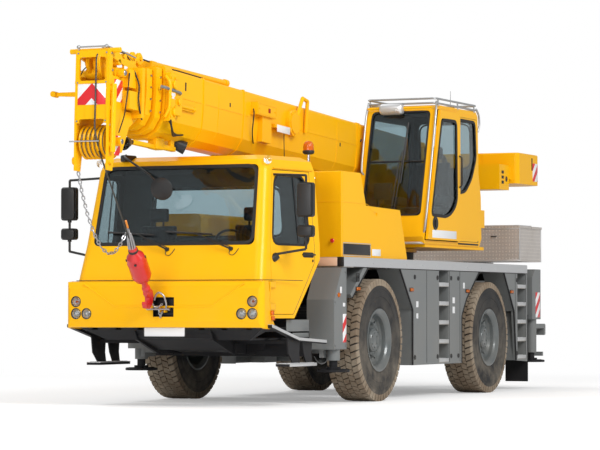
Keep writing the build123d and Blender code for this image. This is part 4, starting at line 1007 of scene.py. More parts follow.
def add_bumper_markers():
    shape = Shape()
    for x, z, tall in ((2.552, 0.985, 0.05), (2.535, 0.932, 0.045)):
        shape.box((x - 0.024, 1.15, z - tall / 2), (x + 0.024, 1.176, z + tall / 2), bevel=0.007)
    shape.twin().done("bumper_markers", "Orange Lens")


def add_blank_plate():
    Shape().box((2.716, -0.24, 0.738), (2.721, 0.24, 0.848), bevel=0.002).done("blank_plate",
        "White Paint")
    rim = Shape()
    corners = at_x(2.721, ((-0.246, 0.732), (0.246, 0.732), (0.246, 0.854), (-0.246, 0.854)))
    rim.band(corners, 0.009, 0.004, bend=0.02)
    rim.box((2.69, -0.1, 0.8), (2.716, 0.1, 0.83), bevel=0.003).done("blank_plate_rim",
        "Black Plastic")


def add_tow_gear():
    """Bow shackle on its cross pin, with a short safety chain."""
    shape = Shape()
    pin_z = 1.025
    shape.rod((2.79, -0.175, pin_z), (2.79, 0.085, pin_z), 0.0095, sides=14)
    shape.rod((2.79, 0.085, pin_z), (2.79, 0.098, pin_z), 0.017, sides=14)
    bow = [(2.782, 0.045, pin_z), (2.792, 0.06, 1.075), (2.812, 0.04, 1.165), (2.825, -0.01, 1.205),
        (2.82, -0.055, 1.175), (2.8, -0.075, 1.12)]
    shape.tube(bow, 0.0105, sides=12, bend=0.06).done("tow_shackle", "Steel")
    liner = Shape()
    corners = at_x(2.7125, ((-0.1145, 0.9455), (0.1245, 0.9455), (0.1245, 1.1495),
        (-0.1145, 1.1495)))
    liner.band(corners, 0.003, 0.048, bend=0.008)
    liner.box((2.7122, -0.113, 0.947), (2.7136, 0.123, 1.148), bevel=0.0004)
    liner.box((2.714, -0.02, 1.085), (2.792, 0.045, 1.115), bevel=0.008)
    liner.box((2.714, -0.105, 0.96), (2.73, 0.115, 0.985), bevel=0.004).done("tow_recess_liner",
        "Black Paint")
    Shape().tube([(2.7545, 0.935, 1.294), (2.7545, 0.56, 1.0505), (2.7545, -0.56, 1.0505),
        (2.7545, -0.935, 1.294)], 0.0095, sides=8, bend=0.02).done("bumper_crease", "Yellow Paint")
    chain = Shape().links([(2.792, -0.115, 1.09), (2.798, -0.07, 1.04), (2.8, -0.03, 1.05),
        (2.796, 0.02, 1.085)], 0.036, 0.0042)
    chain.links([(2.793, -0.03, pin_z - 0.02), (2.788, -0.015, 0.94), (2.79, 0.01, 1.0)], 0.034,
        0.0038).done("safety_chain", "Steel")
    hooks = Shape()
    for y in (-0.62, -0.36, 0.36, 0.62, 0.9, -0.9):
        hooks.box((2.55, y - 0.03, 0.806), (2.7, y + 0.03, 0.8155), bevel=0.003)
    hooks.done("bumper_clips", "Black Paint")


class CRANE_OT_bumper(CraneOperator, bpy.types.Operator):
    """Add the lamps, markers, blank plate and tow shackle at the front"""
    bl_idname = "crane.bumper"
    bl_label = "Bumper"

    def build(self, scene):
        add_bumper_lamps()
        add_bumper_markers()
        add_blank_plate()
        add_tow_gear()


# ---------------------------------------------------------------- carrier's sides
PANEL_FACE = 1.25
STEP_COLUMNS = ((-2.32, -2.0), (-5.1, -4.78))


def add_deck_rail():
    rail = Shape()
    face = PANEL_FACE
    outline = [(face, 1.492), (face + 0.006, 1.494), (face + 0.006, 1.585), (face + 0.002, 1.597),
        (face - 0.02, 1.599), (face - 0.02, 1.5955), (face, 1.593)]
    rail.prism(outline, "X", -5.148, 0.88)
    places = [(-4.95 + 0.5 * k, face + 0.004, 1.54) for k in range(12)]
    rail.bolts(places, (0, 0.006, 0), 0.011).twin().done("deck_rails", "Aluminium")
    Shape().box((0.884, 1.18, 1.492), (0.892, PANEL_FACE + 0.006, 1.597),
        bevel=0.003).twin().done("deck_ends", "Black Plastic")
    Shape().box((0.884, 0.955, 1.498), (0.9, 1.178, 1.59),
        bevel=0.006).twin().done("deck_reflectors", "Peach Reflector")


def add_panel_lines():
    """Joints between the panels and the frames round the wheel openings."""
    shape = Shape()
    y = PANEL_FACE + 0.0005
    for x, low, high in ((-1.6, 0.4, 1.484), (-2.7, 0.4, 1.484), (-2.345, 0.4, 1.484),
            (-5.105, 0.4, 1.484), (-4.7, 0.6, 1.484)):
        shape.box((x - 0.004, y - 0.004, low), (x + 0.004, y + 0.0015, high), bevel=0.001)
    shape.box((-5.15, y - 0.004, 1.484), (0.6, y + 0.002, 1.492),
        bevel=0.001).twin().done("panel_joints", "Seal Rubber")
    edge = Shape()
    for outline in ([(-0.764, 1.485), (-1.158, 1.025), (-1.158, 0.385)],
            [(-2.76, 0.385), (-2.76, 0.95), (-2.92, 1.15), (-3.17, 1.337), (-3.37, 1.485)],
            [(-4.279, 1.485), (-4.655, 1.006), (-4.732, 0.385)],
            [(0.19, 1.485), (0.39, 1.337), (0.64, 1.15)]):
        edge.tube(at_y(1.249, outline), 0.01, sides=8, bend=0.02)
    edge.twin().done("arch_edges", "Seal Rubber")


def add_locks():
    shape = Shape()
    for x, z in ((-1.22, 1.4), (-1.22, 0.47), (-1.95, 1.4), (-1.95, 0.47), (-2.4, 1.4),
            (-2.4, 0.47), (-2.64, 1.4), (-2.64, 0.47), (-4.76, 1.4), (-4.76, 0.47)):
        shape.turned([(0, 0.004), (0.016, 0.004), (0.019, 0.007), (0.026, 0.007), (0.028, 0)],
            (x, PANEL_FACE, z), (0, 1, 0), steps=20)
        shape.box((x - 0.012, PANEL_FACE + 0.003, z - 0.003),
            (x + 0.012, PANEL_FACE + 0.009, z + 0.003), bevel=0.001)
    shape.twin().done("panel_locks", "Black Plastic")


def add_vents():
    shape = Shape()
    x, low, high = 0.488, 1.33, 1.425
    corners = [(x + a, PANEL_FACE, z) for a, z in ((-0.045, low), (-0.045, high), (0.045, high),
        (0.045, low))]
    shape.band(corners, 0.01, 0.006, bend=0.015)
    turn = Matrix.Rotation(math.radians(35), 4, "X")
    for k in range(6):
        z = low + 0.016 + k * 0.0135
        shape.box((x - 0.037, PANEL_FACE - 0.004, z - 0.0015),
            (x + 0.037, PANEL_FACE + 0.007, z + 0.0015), bevel=0.0005, turn=turn)
    shape.twin().done("panel_vents", "Black Plastic")


def add_sides_markers():
    amber, base = Shape(), Shape()
    for x, z in ((0.488, 1.251), (-1.109, 1.252), (-2.95, 1.25), (-4.55, 1.25)):
        base.box((x - 0.056, PANEL_FACE, z - 0.024), (x + 0.056, PANEL_FACE + 0.006, z + 0.024),
            bevel=0.005)
        amber.box((x - 0.05, PANEL_FACE + 0.005, z - 0.018),
            (x + 0.05, PANEL_FACE + 0.018, z + 0.018), bevel=0.007, segments=3)
    base.twin().done("marker_bases", "Black Plastic")
    amber.twin().done("side_markers", "Orange Lens")
    labels = Shape()
    for x, low, high, half in ((-1.3, 1.05, 1.12, 0.035), (-2.49, 0.98, 1.06, 0.04),
            (-2.49, 1.1, 1.17, 0.04), (-2.84, 1.28, 1.35, 0.03), (-1.3, 0.92, 0.98, 0.03)):
        labels.box((x - half, PANEL_FACE, low), (x + half, PANEL_FACE + 0.0016, high), bevel=0.0006)
    labels.twin().done("blank_labels", "White Paint")


def add_treads():
    """Perforated aluminium noses on the steps in the panels."""
    shape = Shape()
    for x0, x1 in STEP_COLUMNS:
        for k in range(5):
            z = 0.44 + 0.225 * k
            shape.box((x0 + 0.004, 1.12, z), (x1 - 0.004, 1.252, z + 0.005), bevel=0.0015)
            shape.box((x0 + 0.004, 1.2505, z - 0.036), (x1 - 0.004, 1.2545, z + 0.005),
                bevel=0.0012)
            for j in range(9):
                x = x0 + 0.03 + j * 0.0325
                for y in (1.145, 1.18, 1.215):
                    shape.turned([(0.006, 0.004), (0.0075, 0.0075), (0.0095, 0.004)], (x, y, z),
                        (0, 0, 1), steps=8)
    shape.twin().done("side_steps", "Aluminium")


def add_cover_boxes():
    """Fittings on the covers of the outriggers, which move with the beams."""
    for side, s in SIDES:
        tag = "front_" + side
        Shape().turned([(0, 0.018), (0.018, 0.016), (0.026, 0.008), (0.027, 0)],
            (1.02, PANEL_FACE, 1.18), (0, 1, 0), steps=20).done(f"cover_lamp_{side}", "Orange Lens",
            f"beam_{tag}", flip=s < 0)
        labels = Shape()
        for x, z, w, h in ((0.955, 1.235, 0.05, 0.07), (0.87, 1.075, 0.06, 0.04)):
            labels.box((x - w / 2, PANEL_FACE, z - h / 2),
                (x + w / 2, PANEL_FACE + 0.0016, z + h / 2), bevel=0.0006)
        labels.done(f"cover_labels_{side}", "White Paint", f"beam_{tag}", flip=s < 0)
        Shape().box((0.806, PANEL_FACE, 0.665), (0.905, PANEL_FACE + 0.002, 0.975),
            bevel=0.0008).done(f"cover_stripes_{side}", STRIPES[side], f"beam_{tag}", flip=s < 0)
        rear = Shape().boxes([((-5.665, PANEL_FACE, 0.925), (-5.49, PANEL_FACE + 0.002, 1.25)),
            ((-5.692, 0.95, 0.925), (-5.69, 1.235, 1.25))], bevel=0.0008)
        rear.done(f"rear_cover_stripes_{side}", STRIPES[side], f"beam_rear_{side}", flip=s < 0)
        trim = Shape()
        corners = at_y(PANEL_FACE, ((0.804, 0.594), (0.804, 1.474), (0.932, 1.474), (1.146, 1.128),
            (1.146, 0.594)))
        trim.band(corners, 0.006, 0.003, bend=0.01)
        places = at_y(PANEL_FACE, ((0.835, 0.63), (1.115, 0.63), (0.835, 1.43), (1.115, 1.1)))
        trim.bolts(places, (0, 0.007, 0), 0.011)
        trim.done(f"cover_trim_{side}", "Grey Paint", f"beam_{tag}", flip=s < 0)
        for end, x in (("front", 0.98), ("rear", -5.53)):
            foot = Shape().turned([(0.06, 0.026), (0.15, 0.026), (0.168, 0.03), (0.178, 0.022),
                (0.178, 0.006), (0.172, 0.001)], (x, 1.17, 0.345), (0, 0, 1), steps=36)
            top = Vector((x, 1.17, 0.374))
            for way in around(4, 1, "Z", lag=0.5):
                foot.tube([top + way * 0.085, top + way * 0.15], 0.006, sides=6)
            foot.done(f"jack_foot_trim_{end}_{side}", "Black Paint", f"jack_{end}_{side}",
                flip=s < 0)


def add_hood_details():
    """Seams, stop button and blank plates of the engine hood."""
    seams = Shape()
    y = 1.2005
    for line in ([(0.835, 2.2), (0.1, 2.2), (0.03, 2.178), (-0.02, 2.135), (-0.14, 2.125)],
            [(0.8, 2.53), (0.8, 1.605)]):
        seams.tube(at_y(y, line), 0.0028, sides=6, bend=0.03)
    seams.tube([(0.8365, 0.505, 2.2), (0.8365, 1.195, 2.2)], 0.0028, sides=6).done("hood_seams",
        "Yellow Paint")
    under = Shape().box((1.47, 1.094, 0.79), (2.06, 1.102, 0.915), bevel=0.006)
    under.box((1.47, 1.094, 0.725), (1.9, 1.1, 0.775), bevel=0.004).twin().done("cab_foot_panels",
        "Grey Paint")
    Shape().turned([(0, 0.034), (0.018, 0.033), (0.024, 0.026), (0.024, 0.018), (0.014, 0.014),
        (0.014, 0)], (0.838, 1.105, 1.775), (1, 0, 0), steps=24).done("stop_button", "Red Paint")
    Shape().box((-0.3, 1.2, 1.625), (-0.05, 1.2018, 1.7), bevel=0.0006).done("hood_blank_label",
        "White Paint")
    Shape().box((0.01, 1.2, 1.625), (0.775, 1.2022, 1.745), bevel=0.0008).done("hood_blank_plate",
        "Black Plastic")
    Shape().band(at_y(1.202, ((0.005, 1.62), (0.78, 1.62), (0.78, 1.75), (0.005, 1.75))), -0.008,
        -0.002, bend=0.01).done("hood_plate_rim", "Aluminium")
    rest = Shape().box((0.79, 0.19, 1.6), (0.87, 0.31, 2.6), bevel=0.01)
    rest.prism([(0.87, 1.62), (0.87, 1.9), (0.7, 1.62)], "Y", 0.235, 0.265).done("boom_rest_post",
        "Black Paint")
    Shape().box((0.74, 0.05, 2.596), (0.92, 0.45, 2.662), bevel=0.02,
        segments=3).done("boom_rest_pad", "Red Paint")


def add_cab_steps():
    """Checkered strip up the slanting board and on the rung below the doors."""
    shape = Shape()
    board = [(2.64, 0.864), (1.959, 0.7235), (1.232, 0.6915), (1.232, 0.6955), (1.958, 0.728),
        (2.64, 0.868)]
    shape.prism([(x, z) for x, z in board], "Y", 1.148, 1.204)
    face = [(2.64, 0.866), (1.959, 0.726), (1.232, 0.694), (1.232, 0.664), (1.959, 0.698),
        (2.64, 0.838)]
    shape.prism(face, "Y", 1.2005, 1.2045)
    shape.box((1.5, 1.035, 0.4505), (2.2, 1.204, 0.4565), bevel=0.002)
    shape.box((1.5, 1.2005, 0.424), (2.2, 1.2045, 0.456), bevel=0.001)
    for j in range(17):
        x = 1.53 + 0.04 * j
        for y in (1.07, 1.12, 1.17):
            shape.turned([(0.007, 0.005), (0.009, 0.009), (0.011, 0.005)], (x, y, 0.452), (0, 0, 1),
                steps=8)
    shape.twin().done("cab_step_plates", "Aluminium")


class CRANE_OT_sides(CraneOperator, bpy.types.Operator):
    """Add the rails, treads, markers, vents and locks on the carrier's sides"""
    bl_idname = "crane.sides"
    bl_label = "Sides"

    def build(self, scene):
        add_deck_rail()
        add_panel_lines()
        add_locks()
        add_vents()
        add_sides_markers()
        add_treads()
        add_cover_boxes()
        add_hood_details()
        add_cab_steps()


# ---------------------------------------------------------------- upper works
OC_IN, OC_OUT = 0.335, 1.205
DOOR_FACE = 1.245
OC_DOOR = ((-1.755, 2.123), (-2.101, 3.302), (-2.622, 3.31), (-2.64, 2.335), (-2.54, 2.225),
    (-2.4, 2.15), (-2.24, 2.115))
OC_QUARTER = ((-2.79, 2.42), (-2.79, 3.345), (-3.36, 3.345), (-3.402, 2.885), (-3.24, 2.62),
    (-3.02, 2.45))


def add_seals():
    front = Shape()
    y0, y1 = OC_IN + 0.065, OC_OUT - 0.055
    pane = [(crane_front(z) + 0.002, y, z) for y, z in ((y0, 2.13), (y1, 2.13), (y1, 3.39),
        (y0, 3.39))]
    front.band(pane, 0.02, 0.007, bend=0.1)
    z = 2.78
    front.rod((crane_front(z) + 0.003, y0, z), (crane_front(z) + 0.003, y1, z), 0.01, sides=8)
    roof = at_z(3.4605, ((-3.0, 0.45), (-2.2, 0.45), (-2.2, 1.1), (-3.0, 1.1)))
    front.band(roof, 0.022, 0.008, bend=0.06)
    rear = at_x(-3.437, ((0.43, 3.33), (1.11, 3.33)))
    rear += [(-3.473, 1.11, 2.76), (-3.473, 0.43, 2.76)]
    front.band(rear, 0.02, 0.007, bend=0.12)
    inner = at_y(OC_IN - 0.001, ((-1.85, 2.2), (-3.2, 2.2), (-3.36, 2.7), (-3.3, 3.3),
        (-2.15, 3.3)))
    front.band(inner, -0.02, -0.007, bend=0.1)
    quarter = at_y(OC_OUT - 0.001, OC_QUARTER)
    front.band(quarter, 0.034, -0.007, bend=0.08).done("operator_seals", "Seal Rubber", UPPER)
    Shape().band(at_y(DOOR_FACE - 0.001, OC_DOOR), 0.036, -0.007,
        bend=0.1).done("operator_door_seal", "Seal Rubber", "crane_door")


def add_wiper():
    shape = Shape()
    foot = Vector((crane_front(2.2) + 0.018, 0.79, 2.17))
    top = Vector((crane_front(3.2) + 0.026, 0.88, 3.2))
    for shift in (-0.018, 0.018):
        side = Vector((0, shift, 0))
        shape.tube([foot + side, foot.lerp(top, 0.55) + side + Vector((0.02, 0, 0)),
            foot.lerp(top, 0.72) + side * 0.4], 0.006, sides=6)
    low, high = Vector((crane_front(2.52) + 0.012, 0.86, 2.52)), top + Vector((-0.012, 0.01, 0.05))
    shape.tube([low, low.lerp(high, 0.5) + Vector((0.004, 0, 0)), high], 0.01, sides=6)
    shape.box(foot + Vector((-0.012, -0.045, -0.03)), foot + Vector((0.012, 0.045, 0.03)),
        bevel=0.008).done("operator_wiper", "Black Plastic", UPPER)
    Shape().tube([(crane_front(3.36) + 0.03, OC_IN + 0.02, 3.425),
        (crane_front(3.36) + 0.034, OC_OUT - 0.02, 3.425)], 0.012, sides=8).done("front_gutter",
        "Yellow Paint", UPPER)


def add_guards():
    """Bright tubes that guard the roof and the pillars."""
    shape = Shape()
    for z in (3.48, 3.535):
        shape.tube([(-2.02, 0.33, z), (-2.02, 1.205, z), (-3.4, 1.205, z), (-3.4, 0.33, z)], 0.0125,
            bend=0.06, closed=True)
    for x, y in ((-2.1, 0.33), (-2.1, 1.205), (-2.75, 1.205), (-3.32, 1.205), (-3.32, 0.33),
            (-2.75, 0.33)):
        shape.rod((x, y, 3.445), (x, y, 3.535), 0.01, sides=10)
    outer = [(-2.02, 1.215, 3.5), (-1.965, 1.232, 3.4), (-1.8, 1.236, 2.78), (-1.628, 1.236, 2.12),
        (-1.606, 1.222, 1.955), (-1.625, 1.2, 1.93)]
    shape.tube(outer, 0.0125, bend=0.08)
    inner = [(-2.02, 0.345, 3.5), (-1.935, 0.345, 3.34), (-1.8, 0.345, 2.78), (-1.775, 0.35, 2.66),
        (-1.802, 0.372, 2.63)]
    shape.tube(inner, 0.0125, bend=0.08)
    rear = [(-3.4, 1.205, 3.5), (-3.475, 1.215, 3.42), (-3.49, 1.215, 3.3), (-3.455, 1.205, 3.22)]
    shape.tube(rear, 0.0125, bend=0.06).done("cab_guards", "Guard Tube", UPPER)


def add_fittings():
    lamp = Shape().box((-2.01, 0.52, 3.345), (-1.89, 0.82, 3.48), bevel=0.045, segments=4)
    lamp.box((-2.05, 0.6, 3.435), (-1.98, 0.74, 3.475), bevel=0.008).done("roof_work_lamp",
        "Aluminium", UPPER)
    Shape().box((-1.893, 0.56, 3.362), (-1.884, 0.78, 3.42), bevel=0.004).done("roof_lamp_lens",
        "Lamp Lens", UPPER)
    aerial = Shape().rod((-3.3, 0.9, 3.46), (-3.3, 0.9, 3.5), 0.02, far=0.012, sides=14)
    aerial.rod((-3.3, 0.9, 3.5), (-3.32, 0.9, 3.725), 0.0035, far=0.002, sides=6)
    aerial.rod((-1.72, 0.36, 3.02), (-1.745, 0.36, 3.05), 0.008, sides=8).done("aerial",
        "Black Plastic", UPPER)
    lock = Shape().turned([(0, 0.004), (0.052, 0.005), (0.064, 0.012), (0.078, 0.01), (0.082, 0)],
        (-1.893, DOOR_FACE, 2.045), (0, 1, 0))
    lock.box((-1.93, DOOR_FACE + 0.004, 2.0), (-1.88, DOOR_FACE + 0.016, 2.085),
        bevel=0.006).done("operator_door_lock", "Black Plastic", "crane_door")
    Shape().box((-2.6, DOOR_FACE, 1.872), (-1.8, DOOR_FACE + 0.0014, 1.965),
        bevel=0.0006).done("operator_blank_labels", "White Paint", "crane_door")
    seams = Shape().tube([(-2.745, OC_OUT + 0.001, 1.86), (-2.745, OC_OUT + 0.001, 3.4)], 0.0035,
        sides=6)
    for z in (1.812, 1.85):
        seams.box((-3.46, 1.1, z), (-2.76, OC_OUT + 0.006, z + 0.02), bevel=0.006)
    seams.done("operator_seams", "Seal Rubber", UPPER)
    step = Shape().box((-1.7, 0.62, 1.795), (-1.545, 1.19, 1.815), bevel=0.006)
    for k in range(7):
        step.box((-1.69 + 0.02 * k, 0.64, 1.814), (-1.681 + 0.02 * k, 1.17, 1.819), bevel=0.001)
    step.done("operator_step", "Aluminium", UPPER)
    Shape().tube([(-2.7, DOOR_FACE, 2.5), (-2.7, DOOR_FACE + 0.035, 2.52),
        (-2.7, DOOR_FACE + 0.035, 2.86), (-2.7, DOOR_FACE, 2.88)], 0.01,
        bend=0.02).done("operator_grip", "Black Plastic", "crane_door")


class CRANE_OT_operator_cab(CraneOperator, bpy.types.Operator):
    """Add the seals, guards, wiper and lamps of the operator's cab"""
    bl_idname = "crane.operator_cab"
    bl_label = "Operator's cab"

    def build(self, scene):
        add_seals()
        add_wiper()
        add_guards()
        add_fittings()


def add_stripes():
    for side, s in SIDES:
        Shape().box((-5.755, 1.19, 2.7), (-5.56, 1.192, 2.935),
            bevel=0.0006).done(f"weight_stripes_{side}", STRIPES[side], UPPER, flip=s < 0)
        Shape().box((-5.9025, 0.62, 2.7), (-5.9005, 0.96, 3.0),
            bevel=0.0006).done(f"weight_back_stripes_{side}", "Stripes Rear", UPPER, flip=s < 0)
    # painted shade: thin black sheets on the weight's sides stand in for the shade in its recesses
    dark = Shape().box((-5.55, 1.1895, 2.84), (-5.515, 1.1925, 3.0), bevel=0.001)
    dark.twin().done("weight_recess_shade", "Black Paint", UPPER)


def add_winch_rope():
    """Laid turns of rope on the drum."""
    shape = Shape()
    turns, steps, radius, wire = 22, 30, 0.159, 0.0085
    points = []
    for k in range(turns * steps + 1):
        turn = math.tau * k / steps
        y = -0.198 + 0.396 * k / (turns * steps)
        points.append((-4.76 + math.cos(turn) * radius, y, 2.83 + math.sin(turn) * radius))
    shape.tube(points, wire, sides=6).done("winch_rope", "Wire Rope", UPPER)


def add_hoses():
    shape = Shape()
    for k in range(4):
        y = 0.42 + 0.11 * k
        shape.tube([(-4.55, y, 2.8), (-4.42, y + 0.01, 2.83), (-4.33, y - 0.02, 2.62),
            (-4.36, y - 0.05, 2.3), (-4.2, 0.36, 2.12), (-3.9, 0.36, 2.06)], 0.013, bend=0.1)
    for k in range(3):
        y = -0.4 - 0.1 * k
        shape.tube([(-4.56, y, 2.7), (-4.44, y, 2.72), (-4.3, y + 0.03, 2.5), (-4.1, -0.36, 2.24),
            (-3.6, -0.36, 2.1)], 0.012, bend=0.1)
    for k in range(3):
        shape.tube([(-2.95 + 0.05 * k, 0.16, 1.86), (-2.85 + 0.05 * k, 0.2, 2.02),
            (-3.05, 0.24, 2.1 + 0.02 * k), (-3.45, 0.27, 2.02)], 0.011, sides=8, bend=0.08)
    shape.done("hydraulic_hoses", "Seal Rubber", UPPER)
    places = [(-4.562, 0.42 + 0.11 * k, 2.8) for k in range(4)]
    unions = Shape().bolts(places, (0.032, 0, 0), 0.021)
    unions.box((-4.3, 0.331, 2.05), (-3.86, 0.375, 2.14), bevel=0.008).done("hose_unions", "Steel",
        UPPER)
    box = Shape()
    for z in (2.635, 2.7, 2.765):
        box.box((-4.72, 1.088, z), (-4.64, 1.0955, z + 0.038), bevel=0.008)
    box.turned([(0, 0.006), (0.03, 0.006), (0.036, 0)], (-4.82, 1.09, 2.7), (0, 1, 0),
        steps=20).done("box_sockets", "Black Plastic", UPPER)


def add_lift_fittings():
    """Pins and bolts of the boom's foot and of the luffing cylinder."""
    pins = Shape()
    for way in (-1, 1):
        foot = Vector((-4.3, way * 0.346, 2.95))
        pins.turned([(0, 0.02), (0.06, 0.02), (0.07, 0.012), (0.07, 0)], foot, (0, way, 0))
        pins.bolts([foot + at for at in around(4, 0.045, lag=0.5)], (0, way * 0.028, 0), 0.009)
    pins.done("foot_pin_caps", "Steel", UPPER)
    places = [Vector((RING_X, 0, 1.76)) + at for at in around(36, 0.655, "Z")]
    clear_of_frame = [at for at in places if not 0.29 <= abs(at.y) <= 0.34]
    Shape().bolts(clear_of_frame, (0, 0, 0.016), 0.012).done("ring_bolts", "Steel", UPPER)


class CRANE_OT_counterweight(CraneOperator, bpy.types.Operator):
    """Add the stripes, hoses, rope turns and fittings behind the operator's cab"""
    bl_idname = "crane.counterweight"
    bl_label = "Counterweight"

    def build(self, scene):
        add_stripes()
        add_winch_rope()
        add_hoses()
        add_lift_fittings()


def add_tail_lamps():
    for name, finish, y0, y1 in (("stop", "Red Lens", 0.99, 1.12),
            ("turn", "Orange Lens", 0.905, 0.98), ("back", "Lamp Lens", 0.825, 0.895)):
        Shape().box((-6.213, y0, 0.712), (-6.199, y1, 0.816), bevel=0.006,
            segments=3).twin().done("tail_lamp_" + name, finish)
    frame = Shape()
    corners = at_x(-6.2005, ((0.8, 0.697), (0.8, 0.831), (1.14, 0.831), (1.14, 0.697)))
    frame.band(corners, 0.012, 0.005, bend=0.015).twin().done("tail_lamp_frames", "Black Plastic")
    Shape().box((-6.153, -0.26, 0.705), (-6.1505, 0.26, 0.825),
        bevel=0.001).done("rear_blank_plate", "White Paint")
    Shape().box((-6.168, -1.12, 0.418), (-6.1655, -0.55, 0.467),
        bevel=0.001).twin().done("underrun_stripes", "Stripes Rear")
    coupling = Shape().box((-6.165, -0.14, 0.95), (-6.12, 0.14, 1.13), bevel=0.012)
    coupling.tube([(-6.165, -0.05, 1.0), (-6.195, -0.05, 1.0), (-6.195, 0.05, 1.0),
        (-6.165, 0.05, 1.0)], 0.014, bend=0.03)
    for y in (-0.3, 0.3):
        coupling.turned([(0, 0.03), (0.02, 0.03), (0.026, 0.022), (0.026, 0)], (-6.15, y, 0.77),
            (-1, 0, 0), steps=20)
    coupling.done("tail_fittings", "Black Paint")


def add_toolbox_trims():
    """Aluminium edge angles, hinges and latches of the checkered toolbox."""
    trim = Shape()
    for x in (-6.001, -5.149):
        trim.box((x - 0.004, -1.154, 1.65), (x + 0.004, 1.154, 1.672), bevel=0.002)
    for x in (-5.992, -5.158):
        trim.boxes([((x - 0.012, 1.146, 1.65), (x + 0.012, 1.153, 2.08)),
            ((x - 0.012, -1.153, 1.65), (x + 0.012, -1.146, 2.08))], bevel=0.002)
    trim.box((-5.15, -1.15, 2.068), (-5.144, 1.15, 2.082), bevel=0.002).done("toolbox_trim",
        "Aluminium")
    latch = Shape()
    for y in (-0.8, 0.8):
        latch.tube([(-5.142, y - 0.035, 1.975), (-5.13, y - 0.03, 1.975), (-5.13, y + 0.03, 1.975),
            (-5.142, y + 0.035, 1.975)], 0.006, sides=8, bend=0.01)
    latch.done("toolbox_latches", "Black Plastic")
    Shape().tube([(-5.56, -1.158, 2.114), (-5.142, -1.158, 2.114), (-5.142, 1.158, 2.114),
        (-5.56, 1.158, 2.114)], 0.005, sides=8, bend=0.01).done("toolbox_lid_rim", "Aluminium",
        "toolbox_lid")


def add_frame_details():
    """Bolted mud flaps, air lines and tanks' straps under the frame."""
    places = [(-5.215, y, 0.93) for y in (0.98, 1.04, 1.1, 1.16, 1.22)]
    flap = Shape().bolts(places, (-0.009, 0, 0), 0.011)
    flap.box((-5.204, 0.95, 0.11), (-5.2, 1.235, 0.88), bevel=0.002).twin().done("flap_fittings",
        "Black Plastic")
    straps = Shape()
    for x in (-2.5, -1.45):
        straps.tube([(x, 0.43, 1.068), (x, 0.908, 1.068), (x, 0.908, 0.632), (x, 0.43, 0.632)],
            0.008, sides=8, bend=0.02)
    straps.twin().done("tank_straps", "Aluminium")
    lines = Shape()
    for k in range(3):
        z = 1.045 - 0.03 * k
        lines.tube([(0.7, 0.424, z), (-0.6, 0.424, z), (-1.1, 0.424, z - 0.01), (-3.2, 0.424, z),
            (-4.9, 0.424, z)], 0.008, sides=8, bend=0.05)
    lines.twin().done("air_lines", "Seal Rubber")
    Shape().turned([(0, 0), (0.075, 0), (0.075, 0.03), (0.045, 0.05), (0.045, 1.02), (0.075, 1.05),
        (0.075, 1.08), (0, 1.08)], (-3.36, 0, 0.735), (1, 0, 0.05), steps=24).done("drive_shaft",
        "Cast Iron")
    arms = Shape()
    for x in (0, REAR_X):
        for y in (-1, 1):
            arms.turned([(0, 0), (0.055, 0), (0.065, 0.02), (0.065, 0.16), (0.05, 0.18), (0, 0.18)],
                (x + 0.1, y * 0.56, 0.7), (1, 0, 0.1), steps=24)
        arms.tube([(x + 0.17, -0.8, 0.66), (x + 0.17, 0.8, 0.66)], 0.017, sides=12)
    arms.done("brake_and_track_rods", "Cast Iron")


class CRANE_OT_tail(CraneOperator, bpy.types.Operator):
    """Add the lamps, stripes, hinges, handles and trims at the tail"""
    bl_idname = "crane.tail"
    bl_label = "Tail"

    def build(self, scene):
        add_tail_lamps()
        add_toolbox_trims()
        add_frame_details()


# ---------------------------------------------------------------- boom
HEAD_SIDE = 0.19
NOSE_FACE = 4.337


def on_boom(shape, name, finish, body, slot=None):
    """The shape is given in the boom's own frame."""
    return shape.move(BOOM_AT).done(name, finish, body, slot)


def add_warning_plates():
    on_boom(Shape().box((NOSE_FACE - 0.0065, -0.157, -0.148), (NOSE_FACE - 0.004, 0.157, 0.062),
        bevel=0.001), "head_chevron", "Chevron", "tele_3")
    on_boom(Shape().boxes([((3.945, HEAD_SIDE, 0.065), (4.015, HEAD_SIDE + 0.002, 0.275)),
        ((4.04, HEAD_SIDE, -0.1), (4.215, HEAD_SIDE + 0.002, 0.12)),
        ((4.06, HEAD_SIDE, -0.64), (4.185, HEAD_SIDE + 0.002, -0.44))], bevel=0.0008),
        "head_stripes", "Stripes Left", "tele_3")


